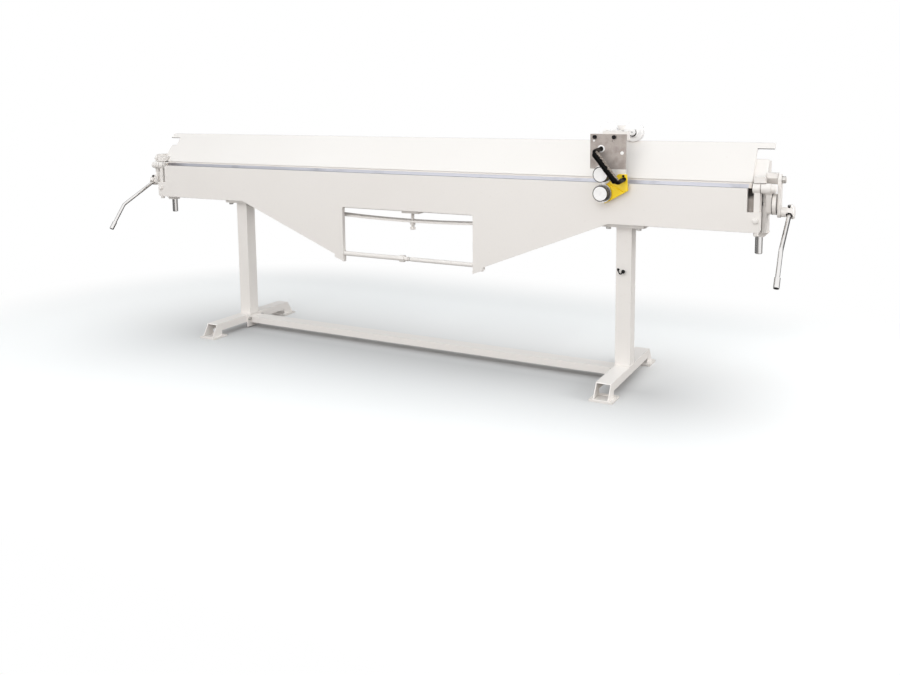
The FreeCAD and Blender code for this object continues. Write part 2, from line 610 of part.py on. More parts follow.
# Places that several pieces share
BEND_Y = "(-bend_setback)"
APRON_FACE = "(-bend_setback - apron_thick)"
TRAY_FLOOR = "(-bend_setback - apron_thick + apron_skin)"
EAR_TOP = "(bend_height - notch_depth)"
APRON_SIDE = "(bend_height - apron_side_depth)"
APRON_MIDDLE = "(bend_height - apron_middle_depth)"
WINDOW_TOP = "(bend_height - window_drop)"
APRON_SLOPE = "((apron_middle_depth - apron_side_depth) / (slope_start - window_half))"
TRAY_SLANT = "(apron_skin * sqrt(1 + %s ^ 2))" % APRON_SLOPE
ARM_END = "(arm_start + arm_width)"
BED_FRONT = "(-bend_setback + bed_gap)"
BED_BACK = "(-bend_setback + bed_gap + bed_depth)"
JAW_LOW = "(bend_height - jaw_thick)"
BED_FLOOR = "(bed_bottom + bed_plate_thick)"
END_PLATE_END = "(end_plate_start + end_plate_thick)"
SIDE_PLATE_END = "(end_plate_start + end_plate_thick + side_plate_thick)"
END_PLATE_LOW = "(bed_bottom - end_plate_drop)"
PIN_BORE = "(hinge_pin_radius + running_gap)"


# Apron: a folded tray with a bending bar, ribs, hinge arms and a truss rod across the window
def apron_shell():
    outline = symmetric([
        ("apron_body_half", "bend_height"),
        ("apron_body_half", EAR_TOP),
        ("apron_half", EAR_TOP),
        ("apron_half", APRON_SIDE),
        ("slope_start", APRON_SIDE),
        ("window_half", APRON_MIDDLE),
        ("window_half", WINDOW_TOP),
    ])
    blank = slab("apron_blank", "Y", APRON_FACE, BEND_Y, outline)
    rounded(blank, "ear_round", [{"x": "apron_half", "z": APRON_SIDE}, {"x": "-apron_half", "z": APRON_SIDE}])
    corners = [{"x": "window_half", "z": WINDOW_TOP}, {"x": "-window_half", "z": WINDOW_TOP}]
    rounded(blank, "window_round", corners)
    hollow = slab("apron_hollow", "Y", TRAY_FLOOR, BEND_Y, symmetric([
        ("apron_body_half - apron_skin", "bend_height - apron_skin"),
        ("apron_body_half - apron_skin", EAR_TOP + " - apron_skin"),
        ("apron_half - apron_skin", EAR_TOP + " - apron_skin"),
        ("apron_half - apron_skin", APRON_SIDE + " + apron_skin"),
        ("slope_start + (apron_skin - %s) / %s" % (TRAY_SLANT, APRON_SLOPE), APRON_SIDE + " + apron_skin"),
        ("window_half + apron_skin", "%s + apron_skin * %s + %s" % (APRON_MIDDLE, APRON_SLOPE, TRAY_SLANT)),
        ("window_half + apron_skin", WINDOW_TOP + " + apron_skin"),
    ]))
    tray = cut("apron_tray", blank, [hollow])
    slot = block("arm_slot", ("arm_start", TRAY_FLOOR, EAR_TOP + " - 2 * apron_skin"),
                 (ARM_END, BEND_Y, EAR_TOP + " + apron_skin"))
    lug = lug_block("lug_seat")
    bolt = cylinder("arm_bolt_hole", "Y", ARM_BOLT, APRON_FACE, TRAY_FLOOR, "arm_bolt_radius")
    screw = cylinder("adjuster_hole", "Z", ADJUSTER, APRON_SIDE, APRON_SIDE + " + apron_skin",
                     "adjuster_shank")
    openings = [piece for tool in (slot, lug, bolt, screw) for piece in pair(tool.Name, tool)]
    keep(cut("apron_shell", tray, openings), "apron_shell")
    return hollow


def lug_block(name):
    inner = "window_half - lug_inset"
    low = "bend_height - lug_bottom_depth"
    return block(name, (inner, TRAY_FLOOR, low), (inner + " + lug_length", BEND_Y, low + " + lug_height"))


ARM_BOLT = ("arm_start + arm_bolt_inset", "bend_height - arm_bolt_drop")
ADJUSTER = ("arm_start + arm_width / 2", "%s / 2 + %s / 2" % (TRAY_FLOOR, BEND_Y))
BAR_LOW = "(bend_height - apron_skin - edge_bar_height)"


def apron_bar_and_ribs(hollow):
    reach = "apron_body_half - apron_skin"
    bar = block("edge_bar", ("-(%s)" % reach, TRAY_FLOOR, BAR_LOW),
                (reach, BEND_Y, "bend_height - apron_skin"))
    keep(bar, "apron_edge_bar")
    places = ["0"]
    for step in range(3):
        place = "window_half + apron_rib_first + %d * apron_rib_pitch" % step
        places += [place, "-(%s)" % place]
    blanks = []
    for index, place in enumerate(places):
        low = (place + " - apron_rib_thick / 2", TRAY_FLOOR, APRON_MIDDLE)
        high = (place + " + apron_rib_thick / 2", BEND_Y, BAR_LOW)
        blanks.append(block("apron_rib_%d" % index, low, high))
    keep(shared("apron_ribs", group("apron_rib_blanks", blanks), hollow), "apron_ribs")


def hinge_arms():
    front = "%s - arm_half_depth" % BEND_Y
    back = "%s + arm_half_depth" % BEND_Y
    step = EAR_TOP + " - apron_skin"
    low = "bend_height - arm_length"
    shank = slab("arm_shank", "X", "arm_start", ARM_END, [
        (front, "bend_height"), (front, step), (TRAY_FLOOR, step), (TRAY_FLOOR, low), (back, low),
        (back, "bend_height"),
    ])
    eye = cylinder("arm_eye", "X", (BEND_Y, "bend_height"), "arm_start - eye_overhang", ARM_END, "eye_radius")
    bore = cylinder("arm_bore", "X", (BEND_Y, "bend_height"), "arm_start - eye_overhang", ARM_END, PIN_BORE)
    bolt = cylinder("arm_thread", "Y", ARM_BOLT, TRAY_FLOOR, back, "arm_bolt_radius")
    arm = cut("arm_right", fused("arm_body", [shank, eye]), [bore, bolt])
    keep(arm, "hinge_arm_right")
    keep(mirrored("arm_left", arm), "hinge_arm_left")


def arm_bolts():
    front = APRON_FACE + " - arm_bolt_proud"
    back = "%s + arm_half_depth" % BEND_Y
    bolt = turned("clamp_bolt", "Y", ARM_BOLT, [
        (front, "0"), (front, "arm_bolt_head - head_chamfer"),
        (front + " + head_chamfer", "arm_bolt_head"), (APRON_FACE, "arm_bolt_head"),
        (APRON_FACE, "arm_bolt_radius"), (back, "arm_bolt_radius"), (back, "0"),
    ])
    low = APRON_SIDE + " - adjuster_head"
    screw = turned("adjuster", "Z", ADJUSTER, [
        (low, "0"), (low, "adjuster_radius - small_chamfer"), (low + " + small_chamfer", "adjuster_radius"),
        (APRON_SIDE, "adjuster_radius"), (APRON_SIDE, "adjuster_shank"),
        ("bend_height - arm_length", "adjuster_shank"), ("bend_height - arm_length", "0"),
    ])
    keep(group("arm_bolt_set", pair("clamp_bolt", bolt) + pair("adjuster", screw)), "arm_bolts")


def truss_rod():
    keep(group("lugs", pair("lug", lug_block("lug"))), "truss_lugs")
    axis = (ADJUSTER[1], "bend_height - rod_drop")
    outer = "window_half - lug_inset"
    left = cylinder("left_tube", "X", axis, "-(%s)" % outer, "-left_tube_end", "left_tube_radius")
    right = cylinder("right_tube", "X", axis, "right_tube_end", outer, "right_tube_radius")
    keep(group("tubes", [left, right]), "truss_tubes")
    bore = (axis[0], axis[1], "stud_radius")
    flats = hexagon(*axis, "truss_nut_across")
    nut = slab("truss_nut", "X", "-left_tube_end", "-truss_nut_end", flats, [bore])
    lock = slab("lock_nut", "X", "-truss_nut_end", "lock_nut_end", flats, [bore])
    stud = cylinder("stud", "X", axis, "-left_tube_end", "right_tube_end", "stud_radius")
    keep(group("truss_screw", [stud, nut, lock]), "truss_stud_and_nuts")


tray_hollow = apron_shell()
apron_bar_and_ribs(tray_hollow)
hinge_arms()
arm_bolts()
truss_rod()


# Bed: a closed box with the lower jaw on top, end plates that carry the hinge and the cranks
def flange_bolt_places(side):
    """Centres of the four bolts of one post's flange; side is 1 at the right and -1 at the left."""
    return [("%d * post_x + %d * flange_bolt_x" % (side, across), "%d * flange_bolt_y" % along)
            for across in (-1, 1) for along in (-1, 1)]


def bed_box():
    jaw = block("jaw", ("-bed_half", BED_FRONT, JAW_LOW), ("bed_half", BED_BACK, "bend_height"))
    keep(jaw, "bed_jaw")
    front_back = BED_FRONT + " + bed_plate_thick"
    back_front = BED_BACK + " - bed_plate_thick"
    front = block("bed_front", ("-(arm_start - bed_front_gap)", BED_FRONT, BED_FLOOR),
                  ("arm_start - bed_front_gap", front_back, JAW_LOW))
    keep(front, "bed_front_plate")
    back = block("bed_back", ("-end_plate_start", back_front, BED_FLOOR),
                 ("end_plate_start", BED_BACK, JAW_LOW))
    keep(back, "bed_back_plate")
    places = flange_bolt_places(-1) + flange_bolt_places(1)
    holes = [(x, y, "flange_bolt_radius + running_gap") for x, y in places]
    floor = slab("bed_floor", "Z", "bed_bottom", BED_FLOOR,
                 rectangle("-bed_half", "bed_half", BED_FRONT, BED_BACK), holes)
    keep(floor, "bed_bottom_plate")
    middle = ("%s / 2 + %s / 2" % (BED_FRONT, BED_BACK), "%s / 2 + %s / 2" % (BED_FLOOR, JAW_LOW),
              "bed_rib_hole")
    ribs = []
    for step in range(-4, 5):
        start = "%d * bed_rib_pitch - bed_rib_thick / 2" % step
        ribs.append(slab("bed_rib_%d" % (step + 4), "X", start, start + " + bed_rib_thick",
                         rectangle(front_back, back_front, BED_FLOOR, JAW_LOW), [middle]))
    keep(group("bed_rib_set", ribs), "bed_ribs")


def bed_ends():
    pin = (BEND_Y, "bend_height")
    shaft = ("trunnion_y", "crank_z")
    shaft_bore = "shaft_radius + running_gap"
    recess = BED_FRONT + " + end_plate_recess"
    neck = "bend_height - end_plate_neck"
    plate = slab("end_plate", "X", "end_plate_start", END_PLATE_END, [
        (BEND_Y, "bend_height"), (BEND_Y, neck), (recess, neck), (recess, END_PLATE_LOW),
        (BED_BACK, END_PLATE_LOW), (BED_BACK, "bend_height"),
    ])
    eye = cylinder("end_eye", "X", pin, "end_plate_start", END_PLATE_END, "eye_radius")
    bores = [cylinder("end_pin_bore", "X", pin, "end_plate_start", END_PLATE_END, PIN_BORE),
             cylinder("end_shaft_bore", "X", shaft, "end_plate_start", END_PLATE_END, shaft_bore)]
    right = cut("end_plate_right", fused("end_plate_body", [plate, eye]), bores)
    keep(right, "bed_end_plate_right")
    keep(mirrored("end_plate_left", right), "bed_end_plate_left")

    low = "bend_height - side_plate_drop"
    front = BEND_Y + " - side_plate_front"
    foot = front + " + side_plate_taper"
    cheek = slab("side_plate", "X", END_PLATE_END, SIDE_PLATE_END, [
        (front, "bend_height"), (front, "bend_height - eye_radius"), (foot, low), ("side_plate_back", low),
        ("side_plate_back", "bend_height"),
    ])
    rounded(cheek, "side_plate_round", [{"y": foot, "z": low}, {"y": "side_plate_back", "z": low}])
    eye = cylinder("side_eye", "X", pin, END_PLATE_END, SIDE_PLATE_END, "side_eye_radius")
    bores = [cylinder("side_pin_bore", "X", pin, END_PLATE_END, SIDE_PLATE_END, PIN_BORE),
             cylinder("side_shaft_bore", "X", shaft, END_PLATE_END, SIDE_PLATE_END, shaft_bore)]
    right = cut("side_plate_right", fused("side_plate_body", [cheek, eye]), bores)
    keep(group("side_plate_set", pair("side_plate", right)), "crank_bearing_plates")

    head = SIDE_PLATE_END + " + hinge_head_length"
    bolt = turned("hinge_pin", "X", pin, [
        ("arm_start - eye_overhang", "0"), ("arm_start - eye_overhang", "hinge_pin_radius"),
        (SIDE_PLATE_END, "hinge_pin_radius"), (SIDE_PLATE_END, "hinge_head_radius"),
        (head + " - head_chamfer", "hinge_head_radius"), (head, "hinge_head_radius - head_chamfer"),
        (head, "0"),
    ])
    keep(group("hinge_pin_set", pair("hinge_pin", bolt)), "hinge_pins")

    block_end = "guide_block_start + guide_block_length"
    block_low = END_PLATE_LOW + " - guide_block_height"
    guide = slab("guide_block", "Y", "guide_y - guide_block_half", "guide_y + guide_block_half", [
        ("guide_block_start", END_PLATE_LOW), (block_end, END_PLATE_LOW),
        (block_end, block_low + " + guide_block_chamfer"), (block_end + " - guide_block_chamfer", block_low),
        ("guide_block_start", block_low),
    ])
    bore = cylinder("guide_bore", "Z", ("guide_x", "guide_y"), block_low, END_PLATE_LOW,
                    "guide_radius + running_gap")
    bored = cut("guide_block_bored", guide, [bore])
    keep(group("guide_block_set", pair("guide_block_bored", bored)), "guide_blocks")


# Clamping beam: a leaning front plate on a sole, with a blade below and a back plate and ribs behind
def lean_y(height):
    """The front plate's face at a height above the floor."""
    return "(nose_setback - bend_setback + (%s - bend_height - sheet_gap) * tan(lean * 1deg))" % height


NOSE_Z = "(bend_height + sheet_gap)"
BLADE_TOP = "(bend_height + sheet_gap + blade_height)"
SOLE_TOP = "(bend_height + sheet_gap + blade_height + sole_thick)"
LEAN_WIDTH = "(beam_plate_thick / cos(lean * 1deg))"
# Middle of the shoulder plate, which lies against the back of the front plate
PLATE_MIDDLE = "(3 * beam_plate_thick / cos(lean * 1deg) / 2)"
TONGUE_LOW = "(beam_top - tongue_height)"
BACK_PLATE_RUN = "(back_plate_y - nose_setback + bend_setback - %s)" % LEAN_WIDTH
BACK_PLATE_TOP = "(%s + %s / tan(lean * 1deg))" % (NOSE_Z, BACK_PLATE_RUN)
BACK_PLATE_BACK = "(back_plate_y + beam_plate_thick)"
SHELF_TOP = "(%s + shelf_thick)" % SOLE_TOP
CHEEK_START = "(shoulder_half - cheek_thick)"


def leaning_plate(name, start, end, low, high, depth):
    """A plate parallel to the beam's front face, the given level depth behind it."""
    foot = "%s + %s" % (lean_y(low), depth)
    head = "%s + %s" % (lean_y(high), depth)
    return slab(name, "X", start, end, [
        (foot, low), (head, high),
        ("%s + %s" % (head, LEAN_WIDTH), high), ("%s + %s" % (foot, LEAN_WIDTH), low),
    ])


def beam_box():
    plate = leaning_plate("front_plate", "-tongue_half", "tongue_half", SOLE_TOP, "beam_top", "0")
    notch = slab("tongue_notch", "Y", "-bend_setback", BACK_PLATE_BACK + " + bed_depth",
                 rectangle("work_half", "tongue_half + cut_margin", "bend_height", TONGUE_LOW))
    rounded(notch, "tongue_round", [{"x": "work_half", "z": TONGUE_LOW}])
    keep(cut("front_plate_cut", plate, pair("tongue_notch", notch)), "beam_front_plate")

    back = "nose_setback - bend_setback + blade_depth"
    keep(slab("blade", "X", "-work_half", "work_half", [
        (lean_y(NOSE_Z), NOSE_Z), (lean_y(BLADE_TOP), BLADE_TOP), (back, BLADE_TOP), (back, NOSE_Z),
    ]), "beam_blade")
    keep(slab("sole", "X", "-work_half", "work_half", [
        (lean_y(BLADE_TOP) + " + sole_inset", BLADE_TOP), (lean_y(SOLE_TOP) + " + sole_inset", SOLE_TOP),
        (BACK_PLATE_BACK, SOLE_TOP), (BACK_PLATE_BACK, BLADE_TOP),
    ]), "beam_sole")
    keep(block("back_plate", ("-back_plate_half", "back_plate_y", SOLE_TOP),
               ("back_plate_half", BACK_PLATE_BACK, BACK_PLATE_TOP)), "beam_back_plate")
    ribs = []
    for step in range(8):
        start = "%g * beam_rib_pitch - beam_rib_thick / 2" % (step - 3.5)
        ribs.append(slab("beam_rib_%d" % step, "X", start, start + " + beam_rib_thick", [
            (lean_y(SOLE_TOP) + " + " + LEAN_WIDTH, SOLE_TOP), ("back_plate_y", BACK_PLATE_TOP),
            ("back_plate_y", SOLE_TOP),
        ]))
    keep(group("beam_rib_set", ribs), "beam_ribs")


def shoulder_brackets():
    shoulder = leaning_plate("shoulder", "shoulder_start", "shoulder_half", SOLE_TOP, "shoulder_top",
                             LEAN_WIDTH)
    rounded(shoulder, "shoulder_round", [{"x": "shoulder_half", "z": "shoulder_top"}])
    cheek = slab("shoulder_cheek", "X", CHEEK_START, "shoulder_half", [
        (lean_y(SOLE_TOP) + " + " + PLATE_MIDDLE, SOLE_TOP),
        (lean_y("shoulder_top") + " + " + PLATE_MIDDLE, "shoulder_top - shoulder_round"),
        (BACK_PLATE_BACK, "shoulder_top - shoulder_round"), (BACK_PLATE_BACK, SOLE_TOP),
    ])
    shelf_front = lean_y(SOLE_TOP + " + shelf_thick / 2") + " + " + PLATE_MIDDLE
    shelf = block("shoulder_shelf", ("shoulder_start", shelf_front, SOLE_TOP),
                  ("shoulder_half", "back_plate_y", SHELF_TOP))
    toe_top = SOLE_TOP + " + toe_height"
    toe = block("shoulder_toe", ("arm_start - toe_start_gap", BEND_Y + " - toe_reach", SOLE_TOP),
                ("shoulder_half", lean_y(toe_top) + " + " + LEAN_WIDTH, toe_top))
    bore = cylinder("shelf_bore", "Z", ("guide_x", "guide_y"), SOLE_TOP, SHELF_TOP,
                    "guide_radius + running_gap")
    right = cut("bracket_right", fused("bracket_body", [shoulder, cheek, shelf, toe]), [bore])
    keep(group("bracket_set", pair("bracket", right)), "shoulder_brackets")

    collar_low = SOLE_TOP + " - guide_collar_height"
    rod = turned("guide_rod", "Z", ("guide_x", "guide_y"), [
        ("guide_bottom", "0"), ("guide_bottom", "guide_radius - guide_tip"),
        ("guide_bottom + guide_tip", "guide_radius"), (collar_low, "guide_radius"),
        (collar_low, "guide_collar_radius"), (SOLE_TOP, "guide_collar_radius"),
        (SOLE_TOP, "guide_radius"), (SHELF_TOP, "guide_radius"), (SHELF_TOP, "0"),
    ])
    keep(group("guide_rod_set", pair("guide_rod", rod)), "guide_rods")


TRUNNION_END = "(disc_start + disc_thick)"
LINK_END = "(link_start + link_thick)"


def trunnions():
    front = "trunnion_y - trunnion_half + trunnion_shift"
    back = "trunnion_y + trunnion_half + trunnion_shift"
    top = "trunnion_z + trunnion_top"
    low = "trunnion_z - trunnion_low"
    body = slab("trunnion_block", "X", "shoulder_half", TRUNNION_END, [
        (front, top), (front, "trunnion_z + trunnion_face"),
        ("trunnion_y + trunnion_shift", low), (back, low), (back, top),
    ])
    root = TRUNNION_END + " - stud_sink"
    face = "link_start - side_play"
    tip = LINK_END + " + trunnion_nut_length + stud_proud"
    stud = turned("trunnion_stud", "X", ("trunnion_y", "trunnion_z"), [
        (root, "0"), (root, "trunnion_collar"),
        (face, "trunnion_collar"), (face, "trunnion_radius"), (tip, "trunnion_radius"), (tip, "0"),
    ])
    right = fused("trunnion_right", [body, stud])
    keep(group("trunnion_set", pair("trunnion", right)), "trunnions")
    nut_start = LINK_END + " + side_play"
    nut_end = nut_start + " + trunnion_nut_length"
    nut = turned("trunnion_nut", "X", ("trunnion_y", "trunnion_z"), [
        (nut_start, "trunnion_radius + running_gap"), (nut_start, "trunnion_nut_radius"),
        (nut_end + " - small_chamfer", "trunnion_nut_radius"),
        (nut_end, "trunnion_nut_radius - small_chamfer"),
        (nut_end, "trunnion_radius + running_gap"),
    ])
    keep(group("trunnion_nut_set", pair("trunnion_nut", nut)), "trunnion_nuts")


# Cranks: a disc on a shaft, a crank pin, a hub with the bent lever rod, and a link up to the beam
PIN_Z = "(crank_z - crank_throw)"
PIN_AXIS = ("trunnion_y", PIN_Z)


def links():
    middle = slab("link_middle", "X", "link_start", LINK_END,
                  rectangle("trunnion_y - link_half", "trunnion_y + link_half", PIN_Z, "trunnion_z"))
    ends = [cylinder("link_top", "X", ("trunnion_y", "trunnion_z"), "link_start", LINK_END, "link_half"),
            cylinder("link_foot", "X", PIN_AXIS, "link_start", LINK_END, "link_half")]
    bores = [cylinder("link_top_bore", "X", ("trunnion_y", "trunnion_z"), "link_start", LINK_END,
                      "trunnion_radius + running_gap"),
             cylinder("link_foot_bore", "X", PIN_AXIS, "link_start", LINK_END,
                      "crank_pin_radius + link_pin_clearance")]
    right = cut("link_cut", fused("link_body", [middle] + ends), bores)
    keep(right, "lift_link_right")
    keep(mirrored("link_left", right), "lift_link_left")


def lever_point(distance_ahead, angle="lever_angle", start=None):
    """A point on the lever's line: ahead of a start point by a distance, below level by an angle."""
    x, y, z = start or ("lever_x", "trunnion_y", PIN_Z)
    return (x, "(%s - (%s) * cos((%s) * 1deg))" % (y, distance_ahead, angle),
            "(%s - (%s) * sin((%s) * 1deg))" % (z, distance_ahead, angle))


def cranks():
    disc_end = "(disc_start + disc_thick)"
    shaft_start = "end_plate_start + shaft_inset"
    disc = turned("crank_disc", "X", ("trunnion_y", "crank_z"), [
        (shaft_start, "0"), (shaft_start, "shaft_radius"), ("disc_start", "shaft_radius"),
        ("disc_start", "disc_radius - disc_chamfer"), ("disc_start + disc_chamfer", "disc_radius"),
        (disc_end + " - disc_chamfer", "disc_radius"), (disc_end, "disc_radius - disc_chamfer"),
        (disc_end, "0"),
    ])
    pin = cylinder("crank_pin", "X", PIN_AXIS, disc_end, "collar_start", "crank_pin_radius")
    right = fused("crank_body", [disc, pin])
    keep(right, "crank_right")
    keep(mirrored("crank_left", right), "crank_left")

    hub = turned("hub_blank", "X", PIN_AXIS, [
        ("hub_start", "crank_pin_radius + running_gap"), ("hub_start", "hub_radius"),
        ("collar_start", "hub_radius"), ("collar_start", "collar_radius"),
        ("hub_end - hub_chamfer", "collar_radius"),
        ("hub_end", "collar_radius - hub_chamfer"), ("hub_end", "0"), ("collar_start", "0"),
        ("collar_start", "crank_pin_radius + running_gap"),
    ])
    across = rod_between("lever_bore", lever_point("-lever_back"),
                         lever_point("collar_radius + lever_radius"), "lever_radius + running_gap")
    mouth = rod_between("lever_mouth", lever_point("mouth_start"),
                        lever_point("collar_radius + lever_radius"), "mouth_radius")
    root = lever_point("lever_radius + running_gap", "lever_angle + 90")
    crown = lever_point("-set_screw_height", "lever_angle + 90")
    seat = lever_point("-(lever_radius + running_gap)", "lever_angle + 90")
    tapped = rod_between("screw_bore", root, crown, "set_screw_radius")
    hub_cut = cut("hub_right", hub, [fused("hub_bores", [across, mouth, tapped])])
    screw = rod_between("set_screw", seat, crown, "set_screw_radius")
    right = group("hub_set", [hub_cut, screw])
    keep(right, "lever_hub_right")
    keep(mirrored("hub_left", right), "lever_hub_left")

    bend = lever_point("lever_upper")
    tip = lever_point("lever_lower", "lever_lower_angle", bend)
    sleeve_top = lever_point("lever_lower - sleeve_length", "lever_lower_angle", bend)
    rod = bent_rod("lever_rod", [lever_point("-lever_back"), bend, tip], "lever_radius", "lever_bend")
    sleeve = cut("lever_sleeve", rod_between("sleeve_blank", sleeve_top, tip, "sleeve_radius"),
                 [rod_between("sleeve_bore", sleeve_top, tip, "lever_radius + running_gap")])
    right = group("lever_set", [rod, sleeve])
    keep(right, "lever_right")
    keep(mirrored("lever_left", right), "lever_left")


bed_box()
bed_ends()
beam_box()
shoulder_brackets()
trunnions()
links()
cranks()


# Stand: two posts on channel feet with floor pads, joined by a low brace
def posts():
    depth = ("-post_depth / 2", "post_depth / 2")
    flange_low = "bed_bottom - flange_thick"
    tube = slab("post", "Z", "foot_height", flange_low,
                rectangle("post_x - post_width / 2", "post_x + post_width / 2", *depth),
                [rectangle("post_x - post_width / 2 + post_wall", "post_x + post_width / 2 - post_wall",
                           "-post_depth / 2 + post_wall", "post_depth / 2 - post_wall")])
    keep(tube, "post_right")
    keep(mirrored("post_twin", tube), "post_left")
    holes = [(x, y, "flange_bolt_radius + running_gap") for x, y in flange_bolt_places(1)]
    flange = slab("flange", "Z", flange_low, "bed_bottom",
                  rectangle("post_x - flange_half", "post_x + flange_half", "-flange_half_depth",
                            "flange_half_depth"), holes)
    keep(group("flange_set", pair("flange", flange)), "post_flanges")
    bolts = []
    for index, (x, y) in enumerate(flange_bolt_places(1)):
        head = slab("flange_head_%d" % index, "Z", flange_low + " - flange_bolt_head", flange_low,
                    hexagon(x, y, "flange_bolt_across"))
        shank = cylinder("flange_shank_%d" % index, "Z", (x, y), flange_low, BED_FLOOR, "flange_bolt_radius")
        bolts += pair("flange_bolt_%d" % index, fused("flange_bolt_%d" % index, [head, shank]))
    keep(group("flange_bolt_set", bolts), "flange_bolts")


FOOT_INNER = "(post_x - foot_width / 2)"
BRACE_BOLTS = [("-brace_bolt_y", "brace_bolt_z"), ("brace_bolt_y", "brace_bolt_z")]
BRACE_END = "(post_x - foot_width / 2 - brace_plate_thick)"


def feet():
    channel = slab("foot_channel", "X", FOOT_INNER, "post_x + foot_width / 2", [
        ("foot_top_half", "foot_height"), ("foot_half", "pad_thick"), ("foot_deep_start", "pad_thick"),
        ("foot_deep_start", "foot_clear"),
        ("-foot_deep_start", "foot_clear"), ("-foot_deep_start", "pad_thick"),
        ("-foot_half", "pad_thick"), ("-foot_top_half", "foot_height"),
    ])
    inside = block("foot_inside", (FOOT_INNER + " + foot_wall", "-foot_half - cut_margin", "0"),
                   ("post_x + foot_width / 2 - foot_wall", "foot_half + cut_margin",
                    "foot_height - foot_wall"))
    holes = [cylinder("foot_bolt_hole_%d" % index, "X", place, FOOT_INNER, FOOT_INNER + " + foot_wall",
                      "brace_bolt_radius + running_gap") for index, place in enumerate(BRACE_BOLTS)]
    right = cut("foot_cut", channel, [inside] + holes)
    keep(right, "foot_right")
    keep(mirrored("foot_twin", right), "foot_left")

    pads = []
    for index, side in enumerate((-1, 1)):
        middle = "%d * (foot_half + pad_overhang - pad_depth / 2)" % side
        anchor_holes = [("post_x + %d * pad_hole_x" % across, "%s + %d * pad_hole_y" % (middle, along),
                         "pad_hole_radius") for across in (-1, 1) for along in (-1, 1)]
        pad = slab("pad_%d" % index, "Z", "0", "pad_thick",
                   rectangle("post_x - pad_length / 2", "post_x + pad_length / 2",
                             middle + " - pad_depth / 2", middle + " + pad_depth / 2"), anchor_holes)
        pads += pair("pad_%d" % index, pad)
    keep(group("pad_set", pads), "floor_pads")


def brace():
    half = "brace_depth / 2"
    high = "brace_low + brace_height"
    tube = slab("brace", "X", "-" + BRACE_END, BRACE_END, rectangle("-" + half, half, "brace_low", high),
                [rectangle("-%s + brace_wall" % half, half + " - brace_wall", "brace_low + brace_wall",
                           high + " - brace_wall")])
    keep(tube, "brace_tube")
    holes = [(y, z, "brace_bolt_radius + running_gap") for y, z in BRACE_BOLTS]
    plate = slab("brace_plate", "X", BRACE_END, FOOT_INNER,
                 rectangle("-brace_plate_half", "brace_plate_half", "brace_plate_low", "brace_plate_high"),
                 holes)
    keep(group("brace_plate_set", pair("brace_plate", plate)), "brace_end_plates")
    bolts = []
    for index, (y, z) in enumerate(BRACE_BOLTS):
        head = slab("brace_head_%d" % index, "X", BRACE_END + " - brace_bolt_head", BRACE_END,
                    hexagon(y, z, "brace_bolt_across"))
        shank = cylinder("brace_shank_%d" % index, "X", (y, z), BRACE_END, FOOT_INNER + " + foot_wall",
                         "brace_bolt_radius")
        bolts += pair("brace_bolt_%d" % index, fused("brace_bolt_%d" % index, [head, shank]))
    keep(group("brace_bolt_set", bolts), "brace_bolts")


# Camber strap: a bowed flat bar under the bed with a jack bolt at mid length
def camber_strap():
    near = "strap_y - strap_width / 2"
    far = "strap_y + strap_width / 2"
    centre = ("0", "strap_low + strap_bend")
    ring = cut("strap_ring", cylinder("strap_outer", "Y", centre, near, far, "strap_bend"),
               [cylinder("strap_inner", "Y", centre, near, far, "strap_bend - strap_thick")])
    span = block("strap_span", ("-strap_half", near, "strap_low - cut_margin"),
                 ("strap_half", far, "bed_bottom + strap_thick"))
    hole = cylinder("strap_hole", "Z", ("0", "strap_y"), "strap_low - cut_margin",
                    "strap_low + 2 * strap_thick", "jack_bolt_radius + jack_bolt_play")
    keep(cut("strap_cut", shared("strap_bow", ring, span), [hole]), "camber_strap")
    anchor = block("anchor", ("strap_half", near, "bed_bottom - anchor_height"),
                   ("strap_half + anchor_length", far, "bed_bottom"))
    keep(group("anchor_set", pair("anchor", anchor)), "strap_anchors")
    plate_low = "bed_bottom - jack_plate_thick"
    keep(block("jack_plate", ("-jack_plate_half", near, plate_low), ("jack_plate_half", far, "bed_bottom")),
         "jack_plate")
    head_top = "jack_bolt_low + jack_head_height"
    head = slab("jack_head", "Z", "jack_bolt_low", head_top, hexagon("0", "strap_y", "jack_head_across"))
    shank = cylinder("jack_shank", "Z", ("0", "strap_y"), head_top, plate_low, "jack_bolt_radius")
    nut = slab("jack_nut", "Z", "strap_low - jack_nut_height", "strap_low",
               hexagon("0", "strap_y", "jack_head_across"),
               [("0", "strap_y", "jack_bolt_radius + running_gap")])
    keep(group("jack_bolt_set", [fused("jack_screw", [head, shank]), nut]), "jack_bolt")


def storage_hook():
    front = "-post_depth / 2"
    reach = front + " - hook_reach"
    low = "hook_z - hook_drop"
    tip = ("hook_x + hook_length", reach, "hook_z - hook_tip_drop")
    line = [("hook_x", front, "hook_z"), ("hook_x", reach, "hook_z"),
            ("hook_x + hook_length / 2", reach, low), tip]
    wire = bent_rod("hook_wire", line, "hook_radius", "2 * hook_radius")
    knob = doc.addObject("Part::Sphere", "hook_knob")
    bind(knob, {"Radius": "hook_knob_radius"})
    bind(knob, {"Placement.Base." + letter: text for letter, text in zip("xyz", tip)})
    rose = cylinder("hook_rose", "Y", ("hook_x", "hook_z"), front + " - hook_radius", front,
                    "2 * hook_radius")
    keep(fused("hook_body", [rose, wire, knob]), "storage_hook")


